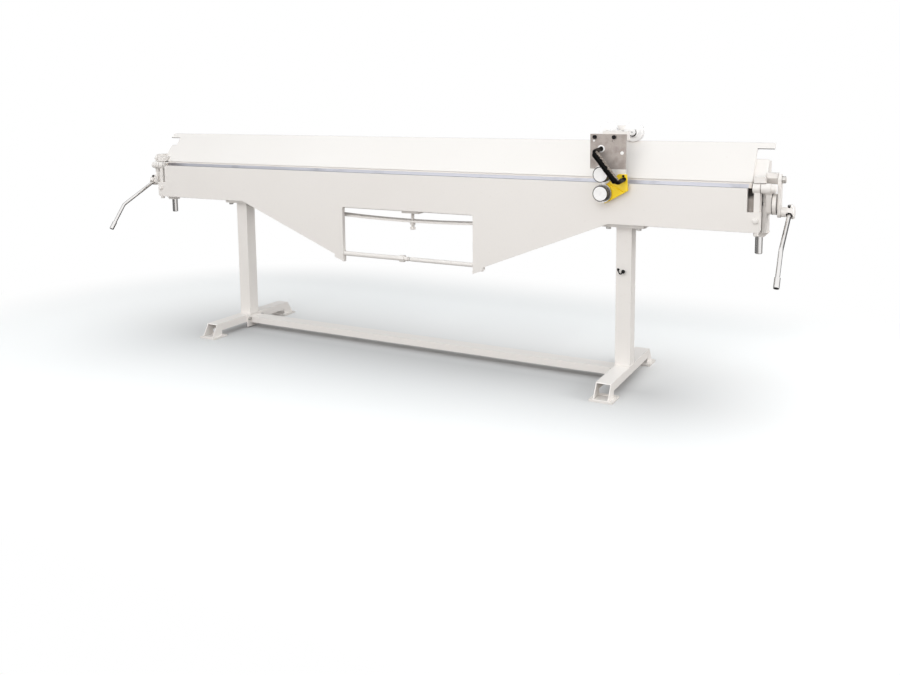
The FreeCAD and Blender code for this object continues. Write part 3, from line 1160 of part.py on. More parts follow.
# Roller slitter: a saddle with two track wheels on the beam's top edge, and a knife head in front of it
HEAD_FACE = "(-head_front)"
HEAD_BACK = "(head_thick - head_front)"
GUARD_FACE = "(-head_front - guard_thick)"
KNIFE_X = "(slitter_x - knife_offset)"
UPPER_KNIFE_Z = "(bend_height + knife_radius - knife_overlap / 2)"
LOWER_KNIFE_Z = "(bend_height - knife_radius + knife_overlap / 2)"
WHEEL_FRONT_LIP = "(%s - wheel_side_gap)" % lean_y("beam_top + wheel_lift - wheel_flange + wheel_radius")
WHEEL_BACK_LIP = "(%s + %s + wheel_side_gap)" % (lean_y("beam_top"), LEAN_WIDTH)
WHEEL_BACK = "(%s + wheel_flange_thick)" % WHEEL_BACK_LIP
WHEEL_FRONT = "(%s - wheel_flange_thick - wheel_hub_length)" % WHEEL_FRONT_LIP
WHEEL_Z = "(beam_top + wheel_lift + wheel_radius)"
SADDLE_PLATE_FRONT = "(%s + wheel_side_gap)" % WHEEL_BACK


def saddle():
    bar_back = HEAD_BACK + " + saddle_bar_thick"
    left = "slitter_x - saddle_bar_left"
    right = "slitter_x + saddle_bar_right"
    bar = slab("saddle_bar", "Y", HEAD_BACK, bar_back, [
        ("slitter_x - saddle_bar_half", "saddle_bar_low"), (right, "saddle_bar_low"),
        (right, "saddle_bar_top"),
        (left, "saddle_bar_top"), (left, "head_top"),
        ("slitter_x - saddle_bar_half", "head_top"),
    ])
    plate_back = SADDLE_PLATE_FRONT + " + saddle_plate_thick"
    arm = block("saddle_arm", ("slitter_x - saddle_arm_half", HEAD_BACK, "head_top"),
                ("slitter_x + saddle_arm_half", plate_back, "saddle_bar_top"))
    plate = block("saddle_plate", ("slitter_x - saddle_plate_half", SADDLE_PLATE_FRONT, "saddle_plate_low"),
                  ("slitter_x + saddle_plate_half", plate_back, "saddle_plate_top"))
    axles = [cylinder("wheel_axle_%d" % index, "Y", ("slitter_x + %d * wheel_offset" % side, WHEEL_Z),
                      WHEEL_FRONT, SADDLE_PLATE_FRONT, "wheel_axle_radius")
             for index, side in enumerate((-1, 1))]
    keep(fused("saddle", [bar, arm, plate] + axles), "slitter_saddle")
    for side, label in ((-1, "left"), (1, "right")):
        bore = "wheel_axle_radius + running_gap"
        flange_front = WHEEL_FRONT + " + wheel_hub_length"
        wheel = turned("wheel_" + label, "Y", ("slitter_x + %d * wheel_offset" % side, WHEEL_Z), [
            (WHEEL_FRONT, bore), (WHEEL_FRONT, "wheel_hub_radius"), (flange_front, "wheel_hub_radius"),
            (flange_front, "wheel_flange"),
            (WHEEL_FRONT_LIP, "wheel_flange"), (WHEEL_FRONT_LIP, "wheel_radius"),
            (WHEEL_BACK_LIP, "wheel_radius"), (WHEEL_BACK_LIP, "wheel_flange"), (WHEEL_BACK, "wheel_flange"),
            (WHEEL_BACK, bore),
        ])
        keep(wheel, "track_wheel_" + label)


def knife_head():
    left = "slitter_x - head_half"
    right = "slitter_x + head_half"
    tab = "slitter_x + head_tab_start"
    tongue_low = UPPER_KNIFE_Z + " - tongue_reach"
    blank = slab("knife_plate_blank", "Y", HEAD_FACE, HEAD_BACK, [
        (left, "head_top"), (right, "head_top"), (right, "head_tab_low"), (tab, "head_tab_low"),
        (tab, "head_low"), (KNIFE_X + " + tongue_half_width", "head_low"),
        (KNIFE_X + " + knife_spacer_radius", tongue_low), (KNIFE_X + " - knife_spacer_radius", tongue_low),
        (KNIFE_X + " - tongue_half_width", "head_low"), (left, "head_low"),
    ], [("slitter_x + sight_hole_right", "sight_hole_z", "sight_hole_radius"),
        ("slitter_x - sight_hole_left", "sight_hole_z", "sight_hole_radius")])
    axle_end = "-knife_cap_front + knife_cap_skin"
    centre = (KNIFE_X, UPPER_KNIFE_Z)
    upper = cylinder("upper_axle", "Y", centre, axle_end, HEAD_FACE, "knife_axle_radius")
    spacer = cylinder("upper_spacer", "Y", centre, GUARD_FACE, HEAD_FACE, "knife_spacer_radius")
    keep(fused("knife_plate_body", [blank, upper, spacer]), "knife_plate")

    outline = [
        ("slitter_x + guard_left", "bend_height + guard_top"),
        ("slitter_x + guard_right", "bend_height + guard_top"),
        ("slitter_x + guard_right + guard_lean", "bend_height - guard_corner"),
        (KNIFE_X + " + knife_axle_radius", "bend_height - guard_low"),
        (KNIFE_X + " - guard_boss", LOWER_KNIFE_Z + " - guard_boss / 2"),
        (KNIFE_X + " - guard_boss", LOWER_KNIFE_Z + " + guard_boss / 2"),
        (KNIFE_X + " + guard_boss / 2", "bend_height - guard_shoulder"),
    ]
    guard = slab("guard_blank", "Y", GUARD_FACE, HEAD_FACE, outline)
    lower_back = GUARD_FACE + " - 2 * knife_gap - knife_thick"
    centre = (KNIFE_X, LOWER_KNIFE_Z)
    lower = cylinder("lower_axle", "Y", centre, axle_end, GUARD_FACE, "knife_axle_radius")
    spacer = cylinder("lower_spacer", "Y", centre, lower_back + " + knife_gap", GUARD_FACE,
                      "knife_spacer_radius")
    keep(fused("guard_body", [guard, lower, spacer]), "knife_carrier")

    for label, height, back in (("upper_knife", UPPER_KNIFE_Z, GUARD_FACE + " - knife_gap"),
                                ("lower_knife", LOWER_KNIFE_Z, lower_back)):
        front = back + " - knife_thick"
        knife = turned(label, "Y", (KNIFE_X, height), [
            (back, "knife_axle_radius + running_gap"), (back, "knife_radius"), (front, "knife_radius"),
            (front, "knife_cap_radius"), ("-knife_cap_front + head_chamfer", "knife_cap_radius"),
            ("-knife_cap_front", "knife_cap_radius - head_chamfer"), ("-knife_cap_front", "0"),
            ("-knife_cap_front + knife_cap_skin - knife_gap", "0"),
            ("-knife_cap_front + knife_cap_skin - knife_gap", "knife_axle_radius + running_gap"),
        ])
        keep(knife, label)


HANDLE_ROOT = ("(slitter_x - handle_left)", "(head_top - handle_drop)")


def slitter_handle():
    foot = "bend_height + handle_foot"
    roots = [(HANDLE_ROOT[0], HEAD_FACE, HANDLE_ROOT[1]), ("slitter_x + handle_right", GUARD_FACE, foot)]
    corners = [("%s - handle_shift" % x, "%s - handle_reach" % y, "%s - handle_fall" % z)
               for x, y, z in roots]
    bar = bent_rod("handle_bar", [roots[0], corners[0], corners[1], roots[1]], "handle_radius", "handle_bend")
    left = "slitter_x - head_half"
    right = "slitter_x + 2 * head_half"
    behind = [block("behind_plate", (left, HEAD_FACE, "bend_height + guard_top"),
                    (right, HEAD_BACK, "head_top")),
              block("behind_carrier", (left, GUARD_FACE, "bend_height - guard_low"),
                    (right, HEAD_BACK, "bend_height + guard_top"))]
    rod = cut("handle_rod", bar, behind)
    inset = [tuple("(%s) + ((%s) - (%s)) * grip_inset" % (near, far, near) for near, far in zip(*ends))
             for ends in (corners, corners[::-1])]
    sleeve = cut("grip", rod_between("grip_blank", *inset, "grip_radius"),
                 [rod_between("grip_bore", *inset, "handle_radius + running_gap")])
    keep(group("handle_set", [rod, sleeve]), "slitter_handle")


def slitter_fasteners():
    screw_z = "head_top - cap_screw_drop"
    pieces = []
    for index, place in enumerate(("slitter_x - cap_screw_left", "slitter_x + cap_screw_right")):
        pieces.append(cylinder("cap_screw_%d" % index, "Y", (place, screw_z),
                               HEAD_FACE + " - cap_screw_height", HEAD_FACE, "cap_screw_radius"))
    bolt = ("slitter_x + guard_bolt_x", "bend_height + guard_bolt_z")
    pieces.append(cylinder("guard_bolt", "Y", bolt, GUARD_FACE + " - guard_bolt_height", GUARD_FACE,
                           "guard_bolt_radius"))
    plug = ("slitter_x + plug_x", "head_top - plug_drop")
    pieces.append(cylinder("plug", "Y", plug, HEAD_FACE + " - plug_height", HEAD_FACE, "plug_radius"))
    root_x, root_z = HANDLE_ROOT
    washer = slab("handle_washer", "Y", HEAD_FACE + " - washer_thick", HEAD_FACE,
                  (root_x, root_z, "washer_radius"), [(root_x, root_z, "washer_hole")])
    pieces.append(washer)
    keep(group("slitter_fastener_set", pieces), "slitter_screws")


posts()
feet()
brace()
camber_strap()
storage_hook()
saddle()
knife_head()
slitter_handle()
slitter_fasteners()


doc.recompute()
failed = [feature.Label for feature in doc.Objects if {"Invalid", "Error"} & set(feature.State)]
if failed:
    raise RuntimeError("failed features: %s" % failed)
for feature in SUBPARTS:
    if feature.Shape.isNull() or not feature.Shape.isValid():
        raise RuntimeError("bad shape: %s" % feature.Label)

os.makedirs("parts", exist_ok=True)
for feature in SUBPARTS:
    feature.Shape.exportStep("parts/%s.step" % feature.Label)
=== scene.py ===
import json
import math

import bmesh
import bpy
from mathutils import Matrix, Vector


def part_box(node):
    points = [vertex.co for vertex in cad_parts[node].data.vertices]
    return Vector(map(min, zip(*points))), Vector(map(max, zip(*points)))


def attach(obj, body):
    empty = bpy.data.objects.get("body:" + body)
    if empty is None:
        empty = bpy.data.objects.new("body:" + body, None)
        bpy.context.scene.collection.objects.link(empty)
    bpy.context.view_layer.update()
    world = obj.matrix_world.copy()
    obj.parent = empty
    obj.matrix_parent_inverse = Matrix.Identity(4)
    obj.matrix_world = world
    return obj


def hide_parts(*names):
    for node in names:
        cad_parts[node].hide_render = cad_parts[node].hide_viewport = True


# Manual sheet metal brake in metres. Fasteners, pins, knives, wheels, the slitter's plates and handle, the
# truss lugs and the welds are modelled here. Every other piece keeps the frame's shape and gets its finish.

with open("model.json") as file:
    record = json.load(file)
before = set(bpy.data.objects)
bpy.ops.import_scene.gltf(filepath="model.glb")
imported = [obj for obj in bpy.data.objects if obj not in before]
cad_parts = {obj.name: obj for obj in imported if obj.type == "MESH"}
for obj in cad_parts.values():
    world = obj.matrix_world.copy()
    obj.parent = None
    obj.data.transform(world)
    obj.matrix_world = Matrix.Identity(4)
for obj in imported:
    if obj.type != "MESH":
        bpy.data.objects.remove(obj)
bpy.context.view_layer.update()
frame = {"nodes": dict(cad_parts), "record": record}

scene = bpy.context.scene
X, Y, Z = Vector((1, 0, 0)), Vector((0, 1, 0)), Vector((0, 0, 1))
MM = 0.001
FULL_TURN = 2 * math.pi


# Camera: the photograph's viewing place, with the lens shifted because the machine sits high in the frame
def photo_camera():
    """Place and turn are in metres and radians, the lens is in pixels of the picture."""
    data = bpy.data.cameras.new("photo_view")
    camera = bpy.data.objects.new("photo_view", data)
    scene.collection.objects.link(camera)
    yaw, pitch, roll = 0.472054, -0.115605, -0.006228
    camera.matrix_world = Matrix.Translation((2.066908, -3.346316, 1.168373))
    for angle, axis in ((yaw, "Z"), (pitch + math.pi / 2, "X"), (roll, "Z")):
        camera.matrix_world @= Matrix.Rotation(angle, 4, axis)
    width, height = 900, 675
    focus, centre_x, centre_y = 844.995, 481.725, 199.926
    data.sensor_width = 36.0
    data.lens = focus / width * data.sensor_width
    data.shift_x = (width / 2 - centre_x) / width
    data.shift_y = (centre_y - height / 2) / width
    data.clip_start = 0.05
    data.clip_end = 100.0
    scene.camera = camera


photo_camera()


# Places: everything that is modelled here is measured off the frame's own solids
def linked_to(verts):
    """The given points and all that edges join to them."""
    found = set(verts)
    waiting = list(verts)
    while waiting:
        for edge in waiting.pop().link_edges:
            for vert in edge.verts:
                if vert not in found:
                    found.add(vert)
                    waiting.append(vert)
    return found


def shape_of(name):
    """A CAD node's shape as a bmesh with its points joined."""
    mesh = bmesh.new()
    mesh.from_mesh(frame["nodes"][name].data)
    bmesh.ops.remove_doubles(mesh, verts=mesh.verts, dist=0.01 * MM)
    return mesh


class Box:
    """The space that some points take up."""

    def __init__(self, points):
        self.low = Vector(min(point[i] for point in points) for i in range(3))
        self.high = Vector(max(point[i] for point in points) for i in range(3))
        self.middle = (self.low + self.high) / 2
        self.size = self.high - self.low

    def face(self, way):
        """The middle of the side that looks along an axis."""
        return Vector(self.low[i] if way[i] < 0 else self.high[i] if way[i] > 0 else self.middle[i]
                      for i in range(3))


def islands(mesh):
    """The points of each separate solid in a mesh."""
    left = dict.fromkeys(mesh.verts)
    found = []
    while left:
        solid = linked_to([next(iter(left))])
        for vert in solid:
            del left[vert]
        found.append(sorted(solid, key=lambda vert: vert.index))
    return found


def solids(name):
    """The box of each separate solid of a CAD node, from left to right."""
    mesh = shape_of(name)
    boxes = [Box([vert.co.copy() for vert in solid]) for solid in islands(mesh)]
    mesh.free()
    return sorted(boxes, key=lambda box: tuple(box.low))


def node_box(name):
    return Box(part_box(name))


def outward_of(box):
    """The way from the machine's middle to the end that a box is at."""
    return X if box.middle.x > 0 else -X


def shade(red, green, blue):
    """A colour from its 8-bit values in a picture."""
    return tuple(c / 12.92 if c <= 0.04045 else ((c + 0.055) / 1.055) ** 2.4
                 for c in (red / 255, green / 255, blue / 255)) + (1.0,)


class Value:
    """One output in a finish's node tree. Calculating with values adds nodes."""

    def __init__(self, finish, socket):
        self.finish = finish
        self.socket = socket

    def __add__(self, other):
        return self.finish.calculate("ADD", self, other)

    __radd__ = __add__

    def __sub__(self, other):
        return self.finish.calculate("SUBTRACT", self, other)

    def __rsub__(self, other):
        return self.finish.calculate("SUBTRACT", other, self)

    def __mul__(self, other):
        return self.finish.calculate("MULTIPLY", self, other)

    def __abs__(self):
        return self.finish.calculate("ABSOLUTE", self)


class Finish:
    """A material whose look comes from nodes on the piece's own coordinates, in metres."""

    def __init__(self, name, rough, metal=0.0, coat=0.0):
        self.material = bpy.data.materials.new(name)
        self.material.use_nodes = True
        self.tree = self.material.node_tree
        self.shader = self.tree.nodes["Principled BSDF"]
        self.shader.inputs["Roughness"].default_value = rough
        self.shader.inputs["Metallic"].default_value = metal
        self.shader.inputs["Coat Weight"].default_value = coat
        self.place = self.node("ShaderNodeTexCoord", output="Object")

    def node(self, kind, settings=None, inputs=None, output=0):
        made = self.tree.nodes.new(kind)
        for key, setting in (settings or {}).items():
            setattr(made, key, setting)
        for key, given in (inputs or {}).items():
            if isinstance(given, Value):
                self.tree.links.new(given.socket, made.inputs[key])
            else:
                made.inputs[key].default_value = given
        return Value(self, made.outputs[output])

    def calculate(self, operation, first, second=0.0, clamp=False):
        settings = {"operation": operation, "use_clamp": clamp}
        return self.node("ShaderNodeMath", settings, {0: first, 1: second})

    def vector(self, operation, first, second=(0, 0, 0), output=0):
        return self.node("ShaderNodeVectorMath", {"operation": operation}, {0: first, 1: second}, output)

    def stretched(self, along):
        """The piece's coordinates scaled along each axis."""
        return self.node("ShaderNodeMapping", None, {"Vector": self.place, "Scale": along})

    def along(self, axis):
        """A point's place along one axis: 0 for X, 1 for Y, 2 for Z."""
        return self.node("ShaderNodeSeparateXYZ", None, {0: self.place}, axis)

    def noise(self, size, detail=3.0, place=None, rough=0.5):
        """Soft noise from 0 to 1 with spots of about the given size in metres."""
        return self.node("ShaderNodeTexNoise", None, {
            "Vector": place or self.place, "Scale": 1.0 / size, "Detail": detail, "Roughness": rough})

    def step(self, value, low, high):
        """0 below low, 1 above high, smooth between."""
        return self.node("ShaderNodeMapRange", {"interpolation_type": "SMOOTHSTEP"},
                         {"Value": value, "From Min": low, "From Max": high})

    def mix(self, share, first, second):
        """Between two colours, each another node's or given by its 8-bit values."""
        low, high = (shade(*given) if isinstance(given, tuple) else given for given in (first, second))
        return self.node("ShaderNodeMix", {"data_type": "RGBA"}, {0: share, 6: low, 7: high}, 2)

    def rounded_edge_highlight(self, radius):
        """A rounded normal, and how far it leaves the flat one: 1 along edges, 0 on flat faces; the finishes
        paint highlights along edges with it.
        """
        rounded = self.node("ShaderNodeBevel", {"samples": 4}, {"Radius": radius})
        flat = self.node("ShaderNodeNewGeometry", output="Normal")
        return rounded, 1 - self.vector("DOT_PRODUCT", rounded, flat, 1)

    def bump(self, height, depth, normal=None):
        inputs = {"Height": height, "Distance": depth, "Strength": 1.0}
        if normal:
            inputs["Normal"] = normal
        return self.node("ShaderNodeBump", None, inputs)

    def use(self, **links):
        names = {"colour": "Base Color", "rough": "Roughness", "normal": "Normal"}
        for key, value in links.items():
            self.tree.links.new(value.socket, self.shader.inputs[names[key]])
        return self.material

    def mottled(self, noise, dark, light, rough, spread, depth):
        """One noise drives the colour between two shades, the roughness and the relief."""
        return self.use(colour=self.mix(noise, dark, light), rough=rough + noise * spread,
                        normal=self.bump(noise, depth))


# Finishes
def enamel():
    """Off-white semi-gloss paint with a fine orange peel, softly rounded over the plates' edges and painted
    lighter there as a highlight.
    """
    paint = Finish("white_enamel", 0.38, coat=0.2)
    paint.shader.inputs["Coat Roughness"].default_value = 0.2
    rounded, edge = paint.rounded_edge_highlight(1.2 * MM)
    drift = paint.noise(0.6)
    dust = paint.noise(0.012, 5.0)
    colour = paint.mix(drift, (229, 224, 219), (234, 230, 226))
    colour = paint.mix(paint.step(dust, 0.62, 0.8) * 0.25, colour, (212, 206, 199))
    # Painted highlight: lighter along the rounded edges.
    colour = paint.mix(paint.step(edge, 0.05, 0.5) * 0.35, colour, (244, 242, 240))
    peel = paint.noise(4 * MM, 2.0)
    rough = 0.36 + paint.noise(0.05) * 0.12
    return paint.use(colour=colour, rough=rough, normal=paint.bump(peel, 0.05 * MM, rounded))


def weld_enamel():
    """The same paint where it lies over a weld bead: glossier, and a little darker in the ripples."""
    paint = Finish("enamel_over_weld", 0.34, coat=0.3)
    ripple = paint.noise(3 * MM, 3.0)
    return paint.mottled(ripple, (216, 210, 204), (234, 230, 226), 0.3, 0.12, 0.3 * MM)


def ground_steel():
    """Bright steel, ground lengthwise. Painted shade: the jaw's face is darker, as the gap under the blade,
    and the left end is darker. The jaw's last centimetre is near black, partly as painted shade in the notch;
    there the blade's end is painted beige.
    """
    steel = Finish("ground_steel", 0.3, metal=1.0)
    grain = steel.noise(0.02, 4.0, steel.stretched((0.05, 8.0, 8.0)))
    smears = steel.noise(0.09, 3.0)
    colour = steel.mix(grain, (194, 195, 204), (230, 231, 240))
    colour = steel.mix(steel.step(smears, 0.5, 0.8) * 0.5, colour, (166, 166, 172))
    jaw = node_box("bed_jaw").high
    end = steel.step(abs(steel.along(0)) + grain * 3 * MM, jaw.x - 13 * MM, jaw.x - 10 * MM)
    blade = steel.step(steel.along(2), jaw.z - 1 * MM, jaw.z)
    # Painted shade: darker towards the left end.
    clear_of_left_shade = steel.step(steel.along(0), 40 * MM - jaw.x, 170 * MM - jaw.x)
    colour = steel.mix(clear_of_left_shade, (150, 146, 148), colour)
    # Painted shade: the jaw's face under the blade is darker. At the ends the jaw is near black, partly as
    # painted shade in the notch, and the blade's end is beige.
    colour = steel.mix(blade, (96, 92, 92), colour)
    colour = steel.mix(end, colour, steel.mix(blade, (40, 36, 34), (226, 218, 210)))
    return steel.use(colour=colour, rough=0.24 + grain * 0.2, normal=steel.bump(grain, 0.06 * MM))


def plain_steel():
    """Hot-rolled plate with its dark scale rubbed. Near the top it is near black, partly as painted shade
    under the jaw, and its left end is painted darker as shade.
    """
    steel = Finish("plain_steel", 0.5, metal=0.6)
    scale = steel.noise(0.03, 6.0)
    rubbed = steel.noise(0.015, 4.0, steel.stretched((1.0, 1.0, 0.15)))
    colour = steel.mix(scale, (112, 105, 100), (170, 162, 156))
    colour = steel.mix(steel.step(rubbed, 0.5, 0.75) * 0.6, colour, (196, 189, 183))
    top = node_box("bed_front_plate").high.z
    # Near black towards the top, partly as painted shade under the jaw, with a ragged edge from the scale.
    top_shade = steel.step(steel.along(2) + scale * 26 * MM, top - 10 * MM, top + 6 * MM)
    colour = steel.mix(top_shade, colour, (38, 34, 32))
    # Painted shade: darker at the left end.
    left_end = node_box("bed_front_plate").low.x
    clear_of_left_notch_shade = steel.step(steel.along(0), left_end + 60 * MM, left_end + 120 * MM)
    colour = steel.mix(clear_of_left_notch_shade, (70, 64, 60), colour)
    return steel.use(colour=colour, rough=0.42 + scale * 0.25, normal=steel.bump(scale, 0.1 * MM))


def galvanised_plate():
    """Speckled grey plate of the slitter, dull zinc with a darker cloud, its edges painted near white as a
    highlight.
    """
    plate = Finish("speckled_zinc", 0.45, metal=0.35)
    rounded, edge = plate.rounded_edge_highlight(1.0 * MM)
    speckle = plate.noise(2.2 * MM, 6.0, rough=0.7)
    cloud = plate.noise(0.035, 4.0)
    colour = plate.mix(speckle, (140, 129, 122), (200, 191, 185))
    colour = plate.mix(plate.step(cloud, 0.42, 0.72) * 0.6, colour, (138, 127, 121))
    # Painted highlight: near white along the rounded edges.
    colour = plate.mix(plate.step(edge, 0.04, 0.4) * 0.8, colour, (238, 234, 231))
    return plate.use(colour=colour, rough=0.4 + speckle * 0.2,
                     normal=plate.bump(speckle, 0.05 * MM, rounded))


def zinc():
    """Zinc-plated fasteners."""
    plating = Finish("zinc_plated_steel", 0.35, metal=0.9)
    spots = plating.noise(6 * MM, 4.0)
    return plating.mottled(spots, (176, 174, 172), (222, 219, 214), 0.3, 0.22, 0.04 * MM)


def chrome():
    """Chromed rods with a faint haze from hands."""
    metal = Finish("polished_chrome", 0.1, metal=1.0)
    haze = metal.noise(0.03, 5.0)
    colour = metal.mix(haze, (236, 233, 231), (250, 249, 248))
    metal.shader.inputs["Specular Tint"].default_value = (0.1, 0.1, 0.1, 1)
    return metal.use(colour=colour, rough=0.05 + haze * 0.06,
                     normal=metal.bump(metal.noise(0.03), 0.02 * MM))


def bright_steel():
    """Hardened and polished steel, without the lengthwise grain."""
    steel = Finish("bright_steel", 0.25, metal=1.0)
    grain = steel.noise(4 * MM, 4.0)
    return steel.mottled(grain, (186, 183, 180), (224, 221, 218), 0.2, 0.2, 0.03 * MM)


def turned_steel():
    """Side of a turned part, with the tool's fine rings, in a very dark steel colour."""
    metal = Finish("turned_steel", 0.3, metal=1.0)
    rings = metal.noise(3 * MM, 3.0, metal.stretched((0.2, 4.0, 0.2)))
    return metal.mottled(rings, (36, 33, 32), (78, 74, 72), 0.25, 0.15, 0.05 * MM)


def black_oxide():
    """Blackened screws, rubbed grey where a key or a hand touches them."""
    metal = Finish("blackened_steel", 0.4, metal=0.8)
    wear = metal.noise(4 * MM, 4.0)
    colour = metal.mix(metal.step(wear, 0.5, 0.8), (26, 25, 26), (84, 82, 82))
    return metal.use(colour=colour, rough=0.34 + wear * 0.2, normal=metal.bump(wear, 0.04 * MM))


def grip(name, highlight_share):
    """Black dipped plastic with a pebbled skin; its upper right side is painted mottled grey as a highlight
    of the light from above.
    """
    plastic = Finish(name, 0.42)
    plastic.shader.inputs["Specular IOR Level"].default_value = 0.06
    pebble = plastic.noise(2.4 * MM, 3.0)
    scuff_and_highlight_edge = plastic.noise(9 * MM, 5.0, rough=0.65)
    handle = node_box("slitter_handle").middle
    highlight_side = (0.77, 0, 0.64)
    from_handle = plastic.vector("SUBTRACT", plastic.place, tuple(handle))
    lifted = plastic.vector("DOT_PRODUCT", from_handle, highlight_side, 1)
    # Painted highlight: mottled grey over the upper right side, with a ragged edge from the scuff noise,
    # turning black again near the outline.
    rubbed = plastic.step(lifted + (scuff_and_highlight_edge - 0.5) * 16 * MM, 1 * MM, 3 * MM)
    outline = plastic.step(lifted, 8 * MM, 9.4 * MM)
    mottle = plastic.step(plastic.noise(5 * MM, 4.0, rough=0.7), 0.4, 0.62)
    colour = plastic.mix(pebble, (4, 4, 4), (14, 13, 12))
    colour = plastic.mix(rubbed * (1 - outline) * highlight_share, colour,
                         plastic.mix(mottle, (92, 84, 76), (180, 168, 158)))
    return plastic.use(colour=colour, rough=0.32 + scuff_and_highlight_edge * 0.3, normal=plastic.bump(pebble, 0.25 * MM))


def cap_plastic():
    """Smooth white moulding."""
    plastic = Finish("white_cap", 0.32, coat=0.1)
    spots = plastic.noise(0.02)
    colour = plastic.mix(spots, (240, 238, 237), (250, 249, 248))
    return plastic.use(colour=colour, rough=0.28 + spots * 0.12,
                       normal=plastic.bump(plastic.noise(2 * MM), 0.03 * MM))


def yellow():
    """Gloss yellow paint, painted paler along its edges as a highlight."""
    paint = Finish("yellow_enamel", 0.35)
    rounded, edge = paint.rounded_edge_highlight(0.8 * MM)
    drift = paint.noise(0.05)
    colour = paint.mix(drift, (255, 213, 10), (255, 221, 26))
    # Painted highlight: paler yellow along the rounded edges.
    colour = paint.mix(paint.step(edge, 0.04, 0.4) * 0.6, colour, (255, 232, 130))
    return paint.use(colour=colour, rough=0.3 + drift * 0.12,
                     normal=paint.bump(paint.noise(3 * MM, 2.0), 0.08 * MM, rounded))


FINISHES = {
    "white_enamel": enamel(), "ground_steel": ground_steel(), "zinc_plated_steel": zinc(),
    "polished_chrome": chrome(), "blackened_steel": black_oxide(), "black_grip": grip("black_grip", 0.9),
    "black_dip": grip("black_dip", 0.12), "white_cap": cap_plastic(), "yellow_enamel": yellow(),
    "plain_steel": plain_steel(), "enamel_over_weld": weld_enamel(), "turned_steel": turned_steel(),
    "bright_steel": bright_steel(), "speckled_zinc": galvanised_plate(),
}
SLOT_OF = {part["node"]: part["material_slot"] for part in frame["record"]["subparts"]}
FINISH_OF = dict(SLOT_OF, knife_plate="speckled_zinc", camber_strap="white_enamel")

for name, finish in FINISH_OF.items():
    node = frame["nodes"][name]
    if not node.material_slots:
        node.data.materials.append(FINISHES[finish])
    for place in node.material_slots:
        place.material = FINISHES[finish]


# Shapes: each function adds to a bmesh, and a piece is finished by piece()
def seat(mesh, verts, base, axis, side):
    """Moves a shape made upwards from the origin to a base point, up along the axis, its X to the side."""
    turn = Matrix((side, axis.cross(side), axis)).transposed()
    bmesh.ops.transform(mesh, matrix=Matrix.Translation(base) @ turn.to_4x4(), verts=list(verts))


def spun(mesh, profile, steps=48):
    """Turns a line of (height, radius) points about the upright axis at the origin."""
    start = [mesh.verts.new((radius, 0, height)) for height, radius in profile]
    edges = [mesh.edges.new(ends) for ends in zip(start, start[1:])]
    bmesh.ops.spin(mesh, geom=start + edges, cent=(0, 0, 0), axis=(0, 0, 1), angle=FULL_TURN, steps=steps,
                   use_merge=True)
    return linked_to(start)


def turned(mesh, profile, base, axis, side, steps=48):
    """A turned shape from (height, radius) points, seated on its base."""
    seat(mesh, spun(mesh, profile, steps), base, axis, side)


def round_bar(mesh, radius, height, base, axis, side, steps=48):
    turned(mesh, [(0, 0), (0, radius), (height, radius), (height, 0)], base, axis, side, steps)


def square_ring(mesh, heights, radii, base, axis, side, steps=48):
    """A ring with a square section between two heights and two radii."""
    (low, high), (inner, outer) = heights, radii
    section = [(low, inner), (low, outer), (high, outer), (high, inner), (low, inner)]
    turned(mesh, section, base, axis, side, steps)


RIM_SLOPE = math.tan(math.radians(30))
FLAT_SHARE = math.cos(FULL_TURN / 12)


def flat_reach(across, vert):
    """How far a hexagon's flat lies from its axis, on the way to a point."""
    sector = FULL_TURN / 6
    return across / 2 / math.cos(math.atan2(vert.co.y, vert.co.x) % sector - sector / 2)


def hexagon(mesh, across, height, base, axis, side):
    """A nut or bolt head across its flats, with a corner at its side, both rims turned down by a cone."""
    corner = across / math.sqrt(3)
    face = across / 2 * 0.96
    rim = (corner - face) * RIM_SLOPE
    verts = spun(mesh, [(0, 0), (0, face), (rim, corner), (height - rim, corner), (height, face),
                        (height, 0)])
    for vert in verts:
        reach = vert.co.xy.length
        flat = flat_reach(across, vert)
        if reach > flat:
            rise = (reach - flat) * RIM_SLOPE
            vert.co = (vert.co.x * flat / reach, vert.co.y * flat / reach,
                       vert.co.z + math.copysign(rise, vert.co.z - height / 2))
    seat(mesh, verts, base, axis, side)


def thread(mesh, radius, height, pitch, base, axis, side):
    """A screw thread: a core with one ridge wound around it, and a chamfered end."""
    depth = 0.6 * pitch
    core = radius - depth
    turned(mesh, [(0, 0), (0, core), (height - depth, core), (height, core - depth), (height, 0)],
           base, axis, side)
    turns = (height - 1.5 * pitch) / pitch
    steps = round(turns * 24)
    root = core * 0.95
    ridge = [mesh.verts.new(place) for place in ((root, 0, 0), (radius, 0, pitch / 2), (root, 0, pitch))]
    edges = [mesh.edges.new((ridge[i], ridge[i - 1])) for i in range(3)]
    bmesh.ops.spin(mesh, geom=ridge + edges, cent=(0, 0, 0), axis=(0, 0, 1), angle=FULL_TURN * turns,
                   steps=steps, dvec=(0, 0, turns * pitch / steps))
    wound = linked_to(ridge)
    ends = {edge for vert in wound for edge in vert.link_edges if edge.is_boundary}
    bmesh.ops.holes_fill(mesh, edges=list(ends), sides=4)
    seat(mesh, wound, base, axis, side)


def washered_bolt(mesh, across, head, washer, shank, base, axis, side):
    """A hexagon bolt. The head's height is given with the washer, washer and shank as radius and height."""
    hexagon(mesh, across, head - washer[1], base, axis, side)
    round_bar(mesh, *washer, base + axis * (head - washer[1]), axis, side)
    round_bar(mesh, *shank, base + axis * head, axis, side)


